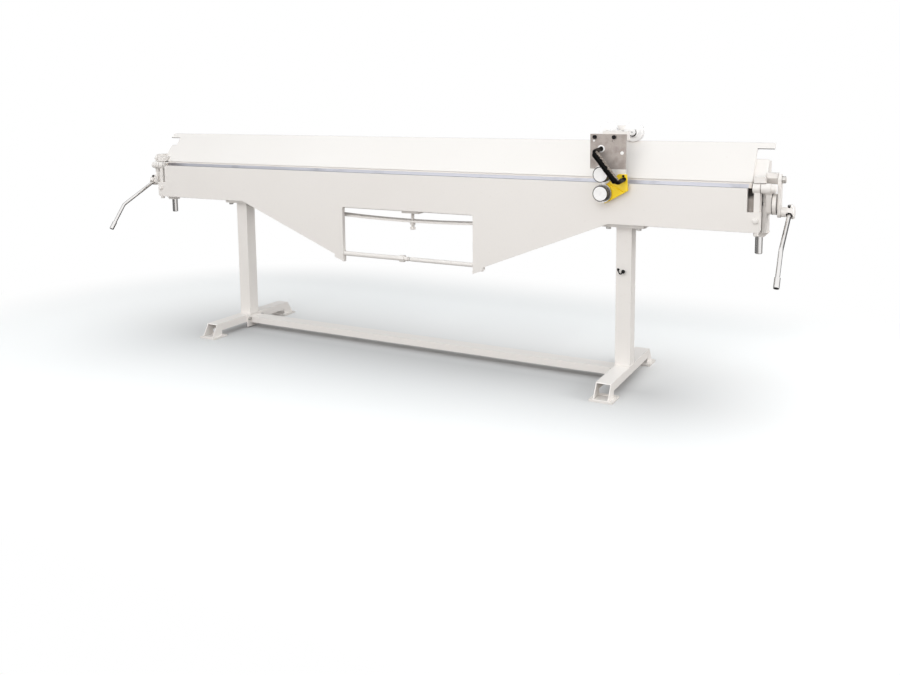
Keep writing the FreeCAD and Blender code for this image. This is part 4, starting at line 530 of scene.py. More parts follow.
def socket_head(mesh, radius, height, base, axis, side):
    """A cap screw's head with its hexagonal key hole."""
    key = radius * 0.55
    rim = radius * 0.12
    verts = spun(mesh, [(0, 0), (0, radius), (height - rim, radius), (height, radius - rim),
                        (height, key * 1.1), (height - rim, key), (height * 0.45, key), (height * 0.38, 0)])
    across = 2 * key * FLAT_SHARE
    for vert in verts:
        reach = vert.co.xy.length
        if key * 0.99 < reach < key * 1.01:
            flat = flat_reach(across, vert)
            vert.co = (vert.co.x * flat / reach, vert.co.y * flat / reach, vert.co.z)
    seat(mesh, verts, base, axis, side)


def bead(mesh, path, size=3 * MM):
    """A weld along a line of points: a row of overlapping drops that differ a little in width."""
    for start, end in zip(path, path[1:]):
        row = bmesh.new()
        along = end - start
        count = max(1, round(along.length / size))
        turn = Z.rotation_difference(along).to_matrix().to_4x4()
        for drop in range(count):
            verts = bmesh.ops.create_uvsphere(row, u_segments=8, v_segments=5, radius=size)["verts"]
            spread = 1 + 0.12 * math.sin(7.3 * drop)
            place = Matrix.Translation(start + along * (drop + 0.5) / count)
            wide = Matrix.Diagonal((spread, spread, 1, 1))
            bmesh.ops.transform(row, matrix=place @ turn @ wide, verts=verts)
        data = bpy.data.meshes.new("row")
        row.to_mesh(data)
        row.free()
        mesh.from_mesh(data)
        bpy.data.meshes.remove(data)


def circle(centre, first, second, radius, steps):
    """Points around a centre in the plane of two axes, and the first again."""
    return [centre + (first * math.cos(turn) + second * math.sin(turn)) * radius
            for turn in (FULL_TURN * step / steps for step in range(steps + 1))]


def loop(first, second, low, high, level):
    """Four corners of a rectangle that spans two axes, and the first again, level along the third."""
    third = X + Y + Z - first - second
    corners = ((low, low), (high, low), (high, high), (low, high), (low, low))
    return [first * a.dot(first) + second * b.dot(second) + third * level for a, b in corners]


def piece(name, body, slot, mesh, replaces=(), finish=None, smooth=35):
    """Closes a bmesh into an object that rides on a body."""
    bmesh.ops.remove_doubles(mesh, verts=mesh.verts, dist=0.01 * MM)
    bmesh.ops.recalc_face_normals(mesh, faces=mesh.faces)
    for face in mesh.faces:
        face.smooth = True
    for edge in mesh.edges:
        edge.smooth = len(edge.link_faces) == 2 and edge.calc_face_angle() < math.radians(smooth)
    data = bpy.data.meshes.new(name)
    mesh.to_mesh(data)
    mesh.free()
    made = bpy.data.objects.new(name, data)
    scene.collection.objects.link(made)
    data.materials.append(FINISHES[finish or slot])
    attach(made, body)
    if replaces:
        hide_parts(*replaces)
    return made


# Stand
COARSE_PITCH = 2.2 * MM
SHANK_SHARE = 0.31


def flange_bolts():
    """Hexagon bolts with washers, their heads under the posts' flanges."""
    flange = node_box("post_flanges").low.z
    mesh = bmesh.new()
    for bolt in solids("flange_bolts"):
        across = bolt.size.y
        washer = (across * 0.58, 2 * MM)
        shank = (across * SHANK_SHARE, bolt.high.z - flange)
        washered_bolt(mesh, across, flange - bolt.low.z, washer, shank, bolt.face(-Z), Z, X)
    piece("flange_bolts_threaded", "stand", "zinc_plated_steel", mesh, ["flange_bolts"])


def brace_bolts():
    """Hexagon bolts that hold the brace's end plates to the feet."""
    plates = solids("brace_end_plates")
    mesh = bmesh.new()
    for bolt in solids("brace_bolts"):
        outward = outward_of(bolt)
        plate = plates[1] if bolt.middle.x > 0 else plates[0]
        head = bolt.face(-outward)
        height = abs(plate.face(-outward).x - head.x)
        across = bolt.size.z
        washer = (across * 0.6, 1.6 * MM)
        shank = (across * SHANK_SHARE, bolt.size.x - height)
        washered_bolt(mesh, across, height, washer, shank, head, outward, Y)
    piece("brace_bolts_and_washers", "stand", "zinc_plated_steel", mesh, ["brace_bolts"])


def jack_bolt():
    """The camber strap's threaded jack bolt, its head and its nut."""
    bolt, nut = sorted(solids("jack_bolt"), key=lambda box: -box.size.z)
    across = bolt.size.y
    head = 11 * MM
    radius = 8 * MM
    foot = bolt.face(-Z)
    mesh = bmesh.new()
    hexagon(mesh, across, head, foot, Z, X)
    thread(mesh, radius, bolt.size.z - head, COARSE_PITCH, foot + Z * head, Z, X)
    hexagon(mesh, across, nut.size.z, nut.face(-Z), Z, X)
    piece("jack_bolt_and_nut", "stand", "zinc_plated_steel", mesh, ["jack_bolt"], finish="white_enamel")


def hinge_pins():
    """Stout painted pins with domed rims and a centre mark from the lathe."""
    mesh = bmesh.new()
    plate = node_box("crank_bearing_plates").high.x
    for pin in solids("hinge_pins"):
        outward = outward_of(pin)
        inner = pin.face(-outward)
        length = pin.size.x
        shank = plate - abs(inner.x)
        shank_radius = 10 * MM
        radius = pin.size.y / 2
        rim = 2 * MM
        soft = 0.6 * MM
        mark, mark_depth = 2.6 * MM, 1.8 * MM
        profile = [(0, 0), (0, shank_radius - soft), (soft, shank_radius), (shank, shank_radius),
                   (shank, radius - soft), (shank + soft, radius), (length - rim, radius),
                   (length - rim * 0.6, radius - rim * 0.1), (length - rim * 0.2, radius - rim * 0.45),
                   (length, radius - rim), (length, mark), (length - mark_depth, 0)]
        turned(mesh, profile, inner, outward, Y)
    piece("hinge_pins_turned", "stand", "white_enamel", mesh, ["hinge_pins"])


def hook_weld():
    """Ring of weld around the hook's root."""
    root = node_box("storage_hook")
    post = node_box("post_right").low.y
    centre = Vector((root.low.x + 2.5 * MM, post, root.high.z - 5 * MM))
    mesh = bmesh.new()
    bead(mesh, circle(centre, X, Z, 3 * MM, 8), 1.6 * MM)
    piece("weld_at_hook", "stand", "blackened_steel", mesh)


def stand_welds():
    """Welds at both ends of the posts, over the feet's legs, at the brace and on the strap's anchors."""
    thin = 2.6 * MM
    mesh = bmesh.new()
    for name in ("post_left", "post_right"):
        post = node_box(name)
        for level in (post.low.z, post.high.z):
            bead(mesh, loop(X, Y, post.low, post.high, level))
    for name in ("foot_left", "foot_right"):
        foot = node_box(name)
        leg = 66 * MM
        for low, high in ((foot.low.y, foot.low.y + leg), (foot.high.y - leg, foot.high.y)):
            bead(mesh, loop(X, Y, Vector((foot.low.x, low, 0)), Vector((foot.high.x, high, 0)), foot.low.z))
    tube = node_box("brace_tube")
    for end in (tube.low.x, tube.high.x):
        bead(mesh, loop(Y, Z, tube.low, tube.high, end), thin)
    for block in solids("strap_anchors"):
        bead(mesh, loop(X, Y, block.low, block.high, block.high.z), thin)
    piece("stand_welds", "stand", "white_enamel", mesh, finish="enamel_over_weld", smooth=180)


# Apron
def arm_bolts():
    """Painted clamp bolts through the apron's ears, and the adjusting bolts under the hinge arms."""
    mesh = bmesh.new()
    for bolt in solids("arm_bolts"):
        if bolt.size.y > bolt.size.z:
            head = 9 * MM
            washer = (bolt.size.z / 2, 2 * MM)
            shank = (6 * MM, bolt.size.y - head)
            washered_bolt(mesh, bolt.size.z * FLAT_SHARE, head, washer, shank, bolt.face(-Y), Y, Z)
        else:
            foot = bolt.face(-Z)
            head = 12 * MM
            hexagon(mesh, bolt.size.x * FLAT_SHARE, head, foot, Z, X)
            thread(mesh, 5 * MM, bolt.size.z - head, 1.5 * MM, foot + Z * head, Z, X)
    piece("arm_bolts_hexagonal", "apron", "white_enamel", mesh, ["arm_bolts"])


def truss_nuts():
    """Nut, round collar and threaded stud between the truss rod's two tubes, and the dark joint ring."""
    nuts, stud = sorted(solids("truss_stud_and_nuts"), key=lambda box: -box.size.z)
    split = nuts.low.x + 26 * MM
    gap = 0.6 * MM
    base = nuts.face(-X)
    mesh = bmesh.new()
    hexagon(mesh, nuts.size.z, split - gap - nuts.low.x, base, X, Y)
    collar = 10.4 * MM
    length = nuts.high.x - split
    turned(mesh, [(0, 0), (0, collar - gap), (gap, collar), (length - gap, collar), (length, collar - gap),
                  (length, 0)], Vector((split, base.y, base.z)), X, Y)
    thread(mesh, stud.size.z / 2, stud.size.x, COARSE_PITCH, stud.face(-X), X, Y)
    piece("truss_nuts_and_stud", "apron", "zinc_plated_steel", mesh, ["truss_stud_and_nuts"],
          finish="white_enamel")
    tube = solids("truss_tubes")[1]
    ring = bmesh.new()
    radius = tube.size.z / 2
    depth, wall, sunk = 1.6 * MM, 2 * MM, 0.4 * MM
    square_ring(ring, (-depth, 0), (radius - wall, radius - sunk), Vector((tube.low.x, base.y, base.z)), X, Y)
    piece("truss_tube_ring", "apron", "zinc_plated_steel", ring, finish="blackened_steel")


def extruded(mesh, outline, back, front):
    """A plate across Y whose outline is given in X and Z."""
    rings = [[mesh.verts.new((x, y, z)) for x, z in outline] for y in (back, front)]
    for ring in rings:
        mesh.faces.new(ring)
    for step, (near, far) in enumerate(zip(*rings)):
        after = (step + 1) % len(outline)
        mesh.faces.new((near, rings[0][after], rings[1][after], far))


def truss_lugs():
    """Lugs whose lower edges run parallel to the apron's, flush with its face, and the tubes' ends."""
    shell = shape_of("apron_shell")
    face = min(vert.co.y for vert in shell.verts)
    front = [(round(abs(vert.co.x), 5), round(vert.co.z, 5)) for vert in shell.verts
             if vert.co.y < face + 0.1 * MM]
    shell.free()
    bottom = min(height for reach, height in front)
    inner = min(reach for reach, height in front if height < bottom + 0.1 * MM)
    width = 50 * MM
    outside = [(reach, height) for reach, height in front if reach > inner + width]
    side = min(height for reach, height in outside)
    outer = min(reach for reach, height in outside if height < side + 0.1 * MM)
    slope = (side - bottom) / (outer - inner)
    overlap = 3 * MM
    near = inner - overlap
    far = inner + width
    tip_length = 20 * MM
    low = node_box("truss_lugs").low.z
    mesh, ends = bmesh.new(), bmesh.new()
    tubes = solids("truss_tubes")
    for lug, tube in zip(solids("truss_lugs"), tubes):
        sign = outward_of(lug).x
        rise = (far - inner) * slope
        edge = [(near, low), (far, low + rise), (far, bottom + rise), (inner, bottom), (near, bottom)]
        extruded(mesh, [(sign * x, z) for x, z in edge], lug.high.y, face)
        back = lug.size.x + abs(lug.middle.x) - lug.size.x / 2
        block = [(near, bottom), (back, bottom), (back, lug.high.z), (near, lug.high.z)]
        extruded(mesh, [(sign * x, z) for x, z in block], lug.high.y, lug.low.y)
        tip = Vector((sign * (inner - tip_length), tube.middle.y, tube.middle.z))
        round_bar(ends, tube.size.z / 2, tip_length - overlap / 2, tip, X * sign, Y)
    piece("truss_lugs_sloped", "apron", "white_enamel", mesh, ["truss_lugs"])
    piece("truss_tube_ends", "apron", "white_enamel", ends)


def truss_welds():
    """Rings of weld where the tubes meet the lugs."""
    mesh = bmesh.new()
    lug_side = 349.5 * MM
    for tube in solids("truss_tubes"):
        centre = Vector((lug_side * outward_of(tube).x, tube.middle.y, tube.middle.z))
        bead(mesh, circle(centre, Y, Z, tube.size.z / 2, 16), 2.4 * MM)
    piece("truss_welds", "apron", "white_enamel", mesh, finish="enamel_over_weld", smooth=180)


# Bed
def bed_corners():
    """Closing plates between the bed's front plate and its end plates."""
    front = node_box("bed_front_plate")
    lap = 0.5 * MM
    mesh = bmesh.new()
    for side in ("left", "right"):
        end = node_box("bed_end_plate_" + side)
        outward = outward_of(end)
        inner = outward.x * (front.high.x - lap)
        outer = end.face(-outward).x + outward.x * lap
        outline = [(inner, front.low.z), (outer, front.low.z), (outer, front.high.z), (inner, front.high.z)]
        extruded(mesh, outline, front.high.y, front.high.y - 8 * MM)
    piece("bed_corner_plates", "stand", "white_enamel", mesh)


# Clamping beam
def trunnion_nuts():
    """Hexagon nuts on the trunnions' studs."""
    mesh = bmesh.new()
    for nut in solids("trunnion_nuts"):
        outward = outward_of(nut)
        inner = nut.face(-outward)
        washer = 2 * MM
        round_bar(mesh, nut.size.z / 2, washer, inner, outward, Y)
        hexagon(mesh, nut.size.z * FLAT_SHARE, nut.size.x - washer, inner + outward * washer, outward, Y)
    piece("trunnion_nuts_hexagonal", "clamp_beam", "zinc_plated_steel", mesh, ["trunnion_nuts"])


def tongue_underside_shade():
    """Dark strip along the underside of the top tongues, standing in for the shade on the plate's lower edge.
    """
    plate = shape_of("beam_front_plate")
    end = node_box("beam_front_plate").high.x
    tip = [vert.co.copy() for vert in plate.verts if vert.co.x > end - 1 * MM]
    low = min(point.z for point in tip)
    front = min(point.y for point in tip if point.z < low + 1 * MM)
    top = max(tip, key=lambda point: (round(point.z, 4), -point.y))
    slope = (Vector((0, top.y, top.z)) - Vector((0, front, low))).normalized()
    plate.free()
    inner = node_box("beam_blade").high.x
    height = 3.2 * MM
    proud, deep = -0.5 * MM, 1.5 * MM
    section = ((proud, 0.1 * MM), (proud, height), (deep, height), (deep, -0.3 * MM))
    mesh = bmesh.new()
    for side in (-1, 1):
        corners = []
        for along in (inner + 1 * MM, end - 0.3 * MM):
            for back, rise in section:
                corners.append(mesh.verts.new(Vector((side * along, front + back, low)) + slope * rise))
        for step in range(4):
            after = (step + 1) % 4
            mesh.faces.new((corners[step], corners[after], corners[4 + after], corners[4 + step]))
        mesh.faces.new(corners[:4])
        mesh.faces.new(corners[4:])
    bmesh.ops.recalc_face_normals(mesh, faces=mesh.faces)
    piece("tongue_underside_shade_strips", "clamp_beam", "white_enamel", mesh, finish="plain_steel")


def beam_welds():
    """Welds around the trunnion blocks on the shoulders."""
    mesh = bmesh.new()
    cheek = node_box("shoulder_brackets").high.x
    for block in solids("trunnions"):
        side = math.copysign(cheek, block.middle.x)
        low = Vector((side, block.low.y, block.low.z))
        high = Vector((side, block.high.y, block.high.z))
        bead(mesh, loop(Y, Z, low, high, side), 2.4 * MM)
    piece("beam_welds", "clamp_beam", "white_enamel", mesh, finish="enamel_over_weld", smooth=180)


# Cranks and levers
HUB_RADIUS = 25 * MM
UPPER_SLOPE = math.radians(27.3)
LOWER_SLOPE = math.radians(53.9)


def hub_axis(side):
    """Where the lever's line meets the middle of its hub."""
    hub = node_box("lever_hub_" + side)
    rod = node_box("lever_" + side)
    return Vector((rod.middle.x, hub.low.y + HUB_RADIUS, hub.low.z + HUB_RADIUS))


def set_screw(side):
    """Black socket set screw that clamps the lever in its hub, square to the lever, and a boss beside it."""
    axis = hub_axis(side)
    up = Vector((0, -math.sin(UPPER_SLOPE), math.cos(UPPER_SLOPE)))
    outward = X if axis.x > 0 else -X
    flat = axis + up * 23 * MM
    screw_radius, screw_height = 5.3 * MM, 8.5 * MM
    boss_radius, boss_height = 8.5 * MM, 9.5 * MM
    mesh = bmesh.new()
    socket_head(mesh, screw_radius, screw_height, flat - outward * 1.5 * MM - Y * 2 * MM, up, X)
    piece("set_screw_" + side, "crank_" + side, "blackened_steel", mesh)
    mesh = bmesh.new()
    turned(mesh, [(0, 0), (0, boss_radius), (boss_height - 3 * MM, boss_radius),
                  (boss_height - 1 * MM, 7 * MM), (boss_height, 4 * MM), (boss_height, 0)],
           flat + outward * 4.5 * MM + Y * 6 * MM, up, X, 32)
    piece("set_screw_boss_" + side, "crank_" + side, "white_enamel", mesh)


def lever_recess_shade_ring(side):
    """Black ring around the lever, deep in the recess where it enters the hub, standing in for the shade in
    that recess.
    """
    out = Vector((0, -math.cos(UPPER_SLOPE), -math.sin(UPPER_SLOPE)))
    recess_floor = hub_axis(side) + out * 14.1 * MM
    bore, reach = 8.1 * MM, 12.4 * MM
    rim, web = 3 * MM, 1.6 * MM
    mesh = bmesh.new()
    turned(mesh, [(0, bore), (0, reach), (rim, reach), (rim, 11.6 * MM), (web, 9.8 * MM), (web, bore),
                  (0, bore)], recess_floor, out, X)
    piece("lever_recess_shade_ring_" + side, "crank_" + side, "blackened_steel", mesh)


def crank_gap_shade_rings(side):
    """Dark rings at both edges of the crank's disc, standing in for the shade in the gaps beside it."""
    disc = node_box("crank_" + side)
    radius = disc.size.y / 2
    axle = Vector((0, disc.middle.y, disc.middle.z))
    plate = node_box("crank_bearing_plates").high.x
    outward = outward_of(disc)
    face = abs(node_box("lift_link_" + side).face(-outward).x)
    mesh = bmesh.new()
    clear, width = 0.2 * MM, 2.4 * MM
    sunk, proud = 3 * MM, 0.4 * MM
    for heights in ((plate + clear, plate + width), (face - width, face - clear)):
        square_ring(mesh, heights, (radius - sunk, radius + proud), axle, outward, Y, 72)
    piece("crank_gap_shade_rings_" + side, "crank_" + side, "blackened_steel", mesh, finish="turned_steel")


def sleeve_bore_shade(side):
    """Black disc on the end of the lever's sleeve, standing in for the shade in its bore, with the sleeve's
    bright rim left around it.
    """
    rod = sorted(solids("lever_" + side), key=lambda box: box.size.z)[0]
    along = Vector((0, -math.cos(LOWER_SLOPE), -math.sin(LOWER_SLOPE)))
    radius = rod.size.x / 2
    end = Vector((rod.middle.x, rod.low.y, rod.low.z)) + Y * radius * math.sin(LOWER_SLOPE)
    end += Z * radius * math.cos(LOWER_SLOPE) - along * 0.4 * MM
    mesh = bmesh.new()
    wall, depth = 2 * MM, 0.7 * MM
    turned(mesh, [(0, 0), (0, radius - wall + 0.4 * MM), (depth, radius - wall), (depth, 0)], end, along, X)
    piece("sleeve_bore_shade_" + side, "crank_" + side, "blackened_steel", mesh)


# Slitter
def knife(which):
    """A circular knife: hardened disc, dark turned drum and a white ringed cap."""
    name = which + "_knife"
    box = node_box(name)
    centre = box.face(Y)
    reach = box.size.y
    radius = box.size.x / 2
    bore = 8 * MM
    blade = 5 * MM
    drum = 32 * MM
    disc = bmesh.new()
    back = blade - 1 * MM
    bevel_width, bevel_depth = 4 * MM, 0.8 * MM
    turned(disc, [(0, bore), (0, radius - bevel_width), (bevel_depth, radius), (blade, radius),
                  (blade, drum - 1 * MM), (back, drum - 6 * MM), (back, bore), (0, bore)], centre, -Y, X, 96)
    piece(name + "_disc", name, "white_cap", disc, [name], finish="bright_steel")
    side = bmesh.new()
    skin = reach - 2.4 * MM
    lip = reach - 0.8 * MM
    neck = blade + 4 * MM
    edge = 28.4 * MM
    turned(side, [(blade, bore), (blade, drum - 2.5 * MM), (neck, drum - 2.5 * MM), (neck + 1 * MM, drum),
                  (skin, drum), (lip, drum - 1.6 * MM), (lip, edge), (skin, edge), (skin, bore)],
           centre, -Y, X, 72)
    piece(name + "_drum", name, "white_cap", side, finish="turned_steel")
    face = bmesh.new()
    ring = 25 * MM
    groove = 0.9 * MM
    profile = [(skin, 0), (skin, edge), (reach - 0.6 * MM, edge), (reach, edge - 0.6 * MM),
               (reach, ring + groove), (reach - groove, ring), (reach, ring - groove)]
    for line in range(8):
        place = ring - groove - (line + 1) * 2.4 * MM
        profile += [(reach, place + 0.5 * MM), (reach - 0.5 * MM, place), (reach, place - 0.5 * MM)]
    profile += [(reach, 5 * MM), (lip, 4.2 * MM), (lip, 0)]
    turned(face, profile, centre, -Y, X, 72)
    piece(name + "_cap", name, "white_cap", face)


def flat_faced(name):
    """A CAD node's shape with its flat faces in one piece each."""
    mesh = shape_of(name)
    bmesh.ops.dissolve_limit(mesh, angle_limit=math.radians(1), verts=mesh.verts, edges=mesh.edges)
    return mesh


def sliced(mesh, point, normal, clear_inner=False, clear_outer=False):
    """Cuts a mesh along a plane, and gives the new edges."""
    cut = bmesh.ops.bisect_plane(mesh, geom=mesh.verts[:] + mesh.edges[:] + mesh.faces[:], plane_co=point,
                                 plane_no=normal, dist=0.001 * MM, clear_inner=clear_inner,
                                 clear_outer=clear_outer)
    return [item for item in cut["geom_cut"] if isinstance(item, bmesh.types.BMEdge)]


def knife_carrier():
    """The yellow carrier plate, grooved along a slanting line and folded back a little below it."""
    mesh = flat_faced("knife_carrier")
    box = node_box("knife_carrier")
    thickness = 5 * MM
    front = box.high.y - thickness
    # The slanting line, measured in from the plate's sides and down from its top
    start = Vector((box.low.x + 47 * MM, front, box.high.z - 41 * MM))
    end = Vector((box.high.x - 17 * MM, front, box.high.z - 70 * MM))
    crease = (end - start).normalized()
    below = crease.cross(Y)
    if below.z > 0:
        below = -below
    line = 3.2 * MM
    fold = math.radians(3)
    for shift in (-line, 0, line):
        sliced(mesh, start + below * shift, below)
    axle = node_box("lower_knife").middle
    boss = 24 * MM
    for vert in mesh.verts:
        past = (vert.co - start).dot(below)
        reach = Vector((vert.co.x - axle.x, vert.co.z - axle.z)).length
        beside = min(1.0, max(0.0, (reach - boss) / boss))
        if past > 0.01 * MM and vert.co.y > front - 1 * MM:
            vert.co.y += past * math.tan(fold) * beside
        if abs(past) < 0.1 * line and abs(vert.co.y - front) < 0.1 * MM and reach > boss:
            vert.co.y += line
    piece("knife_carrier_folded", "knife_head", "yellow_enamel", mesh, ["knife_carrier"])


def knife_plate():
    """The grey knife plate, cut level: speckled grey above and white below."""
    grey_height = 140 * MM
    level = node_box("knife_plate").high.z - grey_height
    for name, finish, keep_above in (("knife_plate_upper", "speckled_zinc", True),
                                     ("knife_plate_lower", "white_enamel", False)):
        mesh = flat_faced("knife_plate")
        rim = sliced(mesh, (0, 0, level), Z, keep_above, not keep_above)
        bmesh.ops.holes_fill(mesh, edges=rim, sides=0)
        piece(name, "knife_head", "zinc_plated_steel", mesh, ["knife_plate"], finish=finish)


def slitter_screws():
    """Black socket screws, and the handle's white washer and the two white plugs."""
    face = 3 * MM
    handle_rod = 10 * MM
    black, white = bmesh.new(), bmesh.new()
    for part in solids("slitter_screws"):
        back = part.face(Y)
        radius = part.size.x / 2
        if part.size.y > 5 * MM:
            socket_head(black, radius, part.size.y, back, -Y, X)
        elif radius > handle_rod:
            turned(white, [(0, handle_rod), (0, radius), (2.4 * MM, radius), (face, radius - 0.6 * MM),
                           (face, handle_rod), (0, handle_rod)], back, -Y, X)
        else:
            turned(white, [(0, 0), (0, radius), (2 * MM, radius), (face, radius - 1.4 * MM), (face, 0)],
                   back, -Y, X)
    plate = node_box("knife_plate")
    front = node_box("slitter_saddle").low.y - 10 * MM
    hole = Vector((plate.low.x + 17 * MM, front, plate.high.z - 27 * MM))
    plug, depth = 3.9 * MM, 2.8 * MM
    turned(white, [(0, 0), (0, plug), (depth - 0.4 * MM, plug), (depth, plug - 0.5 * MM), (depth, 0)],
           hole, -Y, X, 24)
    piece("slitter_cap_screws", "knife_head", "blackened_steel", black, ["slitter_screws"])
    piece("slitter_plug_and_washer", "knife_head", "blackened_steel", white, finish="white_cap")


def slitter_handle():
    """The handle's bent rod, and its grip with beaded ends and a slight swell."""
    mesh = shape_of("slitter_handle")
    sleeve = min(islands(mesh), key=lambda solid: Box([vert.co for vert in solid]).size.x)
    radius = Box([vert.co for vert in sleeve]).size.y / 2
    middle = sum((vert.co for vert in sleeve), Vector()) / len(sleeve)
    down = X - Z
    lower = [vert.co for vert in sleeve if (vert.co - middle).dot(down) > 0]
    along = (sum(lower, Vector()) / len(lower) - middle).normalized()
    half = max((point - middle).dot(along) for point in lower)
    bmesh.ops.delete(mesh, geom=sleeve, context="VERTS")
    mesh.normal_update()
    skin = 1.6 * MM
    for vert in mesh.verts:
        vert.co += vert.normal * skin
    piece("slitter_handle_rod", "knife_head", "black_grip", mesh, ["slitter_handle"], finish="black_dip")
    longer = 11 * MM
    half += longer
    inner = 7.6 * MM
    dome = 9 * MM
    end = [(dome * (1 - math.cos(turn)), inner + (radius - inner) * math.sin(turn))
           for turn in (FULL_TURN / 4 * step / 6 for step in range(7))]
    swell = [(half * 0.5, radius - 0.5 * MM), (half * 0.8, radius - 0.2 * MM), (half, radius)]
    first = end + swell
    profile = first + [(2 * half - height, reach) for height, reach in reversed(first[:-1])] + [(0, inner)]
    mesh = bmesh.new()
    turned(mesh, profile, middle - along * half, along, Y, 32)
    piece("slitter_handle_grip", "knife_head", "black_grip", mesh)


def track_wheel(side):
    """A flanged nylon wheel, and on the right one its axle's white cap with a small dark screw, over a black
    ring set low so that its crescent below the cap is painted shadow.
    """
    name = "track_wheel_" + side
    box = node_box(name)
    front = box.face(-Y)
    radius = box.size.x / 2
    width = box.size.y
    tread = 36 * MM
    hub = 22 * MM
    bore = 8.05 * MM
    boss = 9 * MM
    rim = 7 * MM
    soft = 1.2 * MM
    hollow = width - 3 * MM
    mesh = bmesh.new()
    profile = [(0, bore), (0, hub - soft), (soft, hub), (boss, hub), (boss, radius - soft),
               (boss + soft, radius), (boss + rim - soft, radius), (boss + rim, radius - soft),
               (boss + rim, tread), (width - rim, tread), (width - rim, radius - soft),
               (width - rim + soft, radius), (width - soft, radius), (width, radius - soft),
               (width, tread - 6 * MM), (hollow, tread - 8 * MM), (hollow, 15 * MM), (width, 13 * MM),
               (width, bore), (0, bore)]
    turned(mesh, profile, front, Y, X, 72)
    piece(name + "_moulded", name, "white_cap", mesh, [name])
    if side == "right":
        cap, screw = bmesh.new(), bmesh.new()
        # Painted shadow: the black ring sits lower than the cap, so a dark crescent shows beneath it.
        shadow_drop = X * 1 * MM - Z * 2.6 * MM
        washer, top, cap_radius = 1.5 * MM, 7 * MM, 14.5 * MM
        square_ring(screw, (0, washer), (10 * MM, 16.4 * MM), front + shadow_drop, -Y, X)
        turned(screw, [(top - 0.5 * MM, 0), (top - 0.5 * MM, 2.4 * MM), (top + 0.5 * MM, 2 * MM),
                       (top + 0.5 * MM, 0)], front, -Y, X, 24)
        turned(cap, [(washer, 0), (washer, cap_radius), (top - 1 * MM, cap_radius),
                     (top, cap_radius - 1 * MM), (top, 0)], front, -Y, X)
        piece("axle_screw_and_shadow_crescent_right", "slitter_carriage", "blackened_steel", screw)
        piece("axle_cap_right", "slitter_carriage", "white_cap", cap)


def build():
    for make in (flange_bolts, brace_bolts, jack_bolt, hinge_pins, hook_weld, stand_welds, arm_bolts,
                 truss_nuts, truss_lugs, truss_welds, bed_corners, trunnion_nuts, beam_welds, tongue_underside_shade):
        make()
    for side in ("left", "right"):
        if side == "right":
            crank_gap_shade_rings(side)
            lever_recess_shade_ring(side)
        set_screw(side)
        sleeve_bore_shade(side)
    for which in ("upper", "lower"):
        knife(which)
    for make in (knife_carrier, knife_plate, slitter_screws, slitter_handle):
        make()
    for side in ("left", "right"):
        track_wheel(side)


build()


# Stage: a white surround, floor paper, lamps, and grey cards that the polished parts mirror
def mixed(tree, share, first, second):
    """A shader between two others."""
    mix = tree.nodes.new("ShaderNodeMixShader")
    for socket, given in zip(mix.inputs, (share, first, second)):
        tree.links.new(given, socket)
    return mix.outputs[0]


def surround():
    """White to the camera and in reflections, and dimmer as light on the machine."""
    world = bpy.data.worlds.new("white_room")
    scene.world = world
    world.use_nodes = True
    tree = world.node_tree
    dim = tree.nodes["Background"]
    bright = tree.nodes.new("ShaderNodeBackground")
    for light, strength in ((dim, 0.78), (bright, 1.0)):
        light.inputs["Color"].default_value = (1, 1, 1, 1)
        light.inputs["Strength"].default_value = strength
    rays = tree.nodes.new("ShaderNodeLightPath")
    seen = rays.outputs["Is Camera Ray"]
    for kind in ("Is Glossy Ray", "Is Transmission Ray"):
        either = tree.nodes.new("ShaderNodeMath")
        either.operation = "MAXIMUM"
        tree.links.new(seen, either.inputs[0])
        tree.links.new(rays.outputs[kind], either.inputs[1])
        seen = either.outputs[0]
    both = mixed(tree, seen, dim.outputs[0], bright.outputs[0])
    tree.links.new(both, tree.nodes["World Output"].inputs["Surface"])


def staged(name, mesh, material):
    """An object of the stage, which is no part of the machine."""
    data = bpy.data.meshes.new(name)
    mesh.to_mesh(data)
    mesh.free()
    data.materials.append(material)
    made = bpy.data.objects.new(name, data)
    scene.collection.objects.link(made)
    return made


def floor():
    """Paper painted grey along a line under the machine as a soft shadow, glowing white farther off, dark to
    other rays.
    """
    paper = Finish("floor_paper", 0.9)
    tree = paper.tree
    middle_half, glow_from, glow_full = 1.1, 1.1, 1.9
    shadow_fade_per_metre = 0.88
    shifted = paper.vector("ADD", paper.place, (-0.05, 0.12, 0))
    past = paper.vector("SUBTRACT", paper.vector("ABSOLUTE", shifted), (middle_half, 0, 0))
    away = paper.vector("LENGTH", paper.vector("MAXIMUM", past), output=1)
    near = paper.calculate("SUBTRACT", 1.0, away * shadow_fade_per_metre, clamp=True)
    grain = paper.noise(0.5) * 0.04
    # Painted shadow: the paper turns grey towards the line under the machine.
    paper.use(colour=paper.mix(near * near * (0.96 + grain), (247, 247, 246), (190, 190, 190)))
    glow = tree.nodes.new("ShaderNodeEmission")
    glow.inputs["Strength"].default_value = 1.0
    dark = tree.nodes.new("ShaderNodeBsdfDiffuse")
    dark.inputs["Color"].default_value = shade(150, 147, 144)
    far_off = paper.step(away, glow_from, glow_full).socket
    fade = mixed(tree, far_off, paper.shader.outputs[0], glow.outputs[0])
    split = mixed(tree, paper.node("ShaderNodeLightPath").socket, dark.outputs[0], fade)
    tree.links.new(split, tree.nodes["Material Output"].inputs["Surface"])
    mesh = bmesh.new()
    bmesh.ops.create_circle(mesh, cap_ends=True, segments=96, radius=14)
    staged("floor", mesh, paper.material)


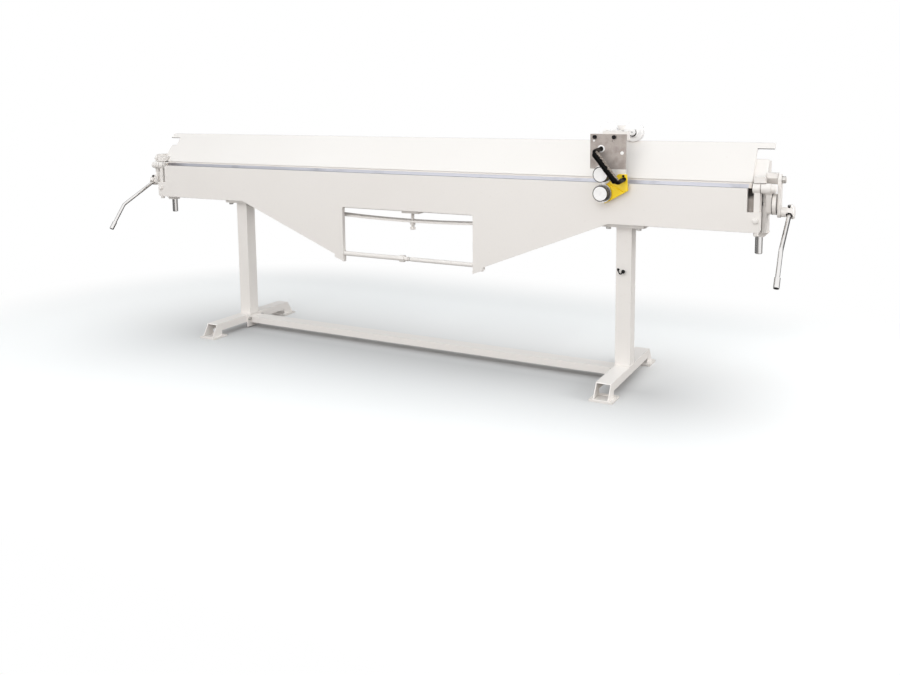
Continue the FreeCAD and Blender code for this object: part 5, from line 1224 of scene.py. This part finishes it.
def lamp(name, place, target, width, height, power, colour=(1, 1, 1), mirrored=True):
    """A flat lamp in metres and watts, aimed at a target."""
    data = bpy.data.lights.new(name, "AREA")
    data.shape = "RECTANGLE"
    data.size = width
    data.size_y = height
    data.energy = power
    data.color = colour
    made = bpy.data.objects.new(name, data)
    scene.collection.objects.link(made)
    aim = (Vector(target) - Vector(place)).normalized()
    made.matrix_world = Matrix.Translation(place) @ aim.to_track_quat("-Z", "Y").to_matrix().to_4x4()
    made.visible_glossy = mirrored


def card(name, place, facing, width, height, tone):
    """A grey card that glows evenly with a faint cloud, and that only reflections show."""
    paper = Finish(name, 1.0)
    drift = 6
    cloud = paper.mix(paper.noise(0.6), (tone - drift,) * 3, (tone + drift,) * 3)
    paper.shader.inputs["Base Color"].default_value = (0, 0, 0, 1)
    paper.shader.inputs["Specular IOR Level"].default_value = 0.0
    paper.shader.inputs["Emission Strength"].default_value = 1.0
    paper.tree.links.new(cloud.socket, paper.shader.inputs["Emission Color"])
    mesh = bmesh.new()
    bmesh.ops.create_grid(mesh, x_segments=1, y_segments=1, size=0.5)
    bmesh.ops.scale(mesh, vec=(width, height, 1), verts=mesh.verts)
    made = staged(name, mesh, paper.material)
    turn = Vector(facing).normalized().to_track_quat("Z", "Y").to_matrix().to_4x4()
    made.matrix_world = Matrix.Translation(place) @ turn
    for kind in ("camera", "diffuse", "transmission", "volume_scatter", "shadow"):
        setattr(made, "visible_" + kind, False)


surround()
floor()

# Place, target, width and height in metres, power in watts
lamp("overhead_lamp", (0, -0.2, 3.4), (0, 0, 0), 5.0, 2.6, 14, (0.45, 0.78, 1.0), mirrored=False)
lamp("high_front_lamp", (0.8, -3.6, 3.2), (0.3, 0, 0.8), 4.0, 1.6, 51)
lamp("front_lamp", (0.4, -5.5, 1.3), (0, 0, 0.7), 4.0, 2.0, 69)
lamp("left_lamp", (-4.6, -2.5, 1.8), (0, 0, 0.6), 2.0, 2.0, 22)
lamp("right_lamp", (4.6, 0.4, 1.6), (0, 0, 0.6), 2.0, 2.0, 70, mirrored=False)

# Place, facing, width and height in metres, grey in 8 bits
card("back_card", (1, 3.8, 2.1), (0, -1, 0), 18.0, 6.6, 140)
card("left_card", (-6, -0.5, 3.6), (1, 0, 0), 6.0, 6.6, 190)
card("front_left_card", (-4.4, -5.6, 1.6), (1, 1, 0), 7.0, 4.4, 30)
card("left_floor_card", (-3.2, -3.0, 0.02), (0, 0, 1), 7.6, 7.6, 120)
card("back_floor_card", (-0.9, 2.0, 0.02), (0, 0, 1), 5.0, 2.2, 44)
card("right_floor_card", (4.6, -3.0, 0.02), (0, 0, 1), 5.0, 7.0, 246)

scene.view_settings.view_transform = "Standard"
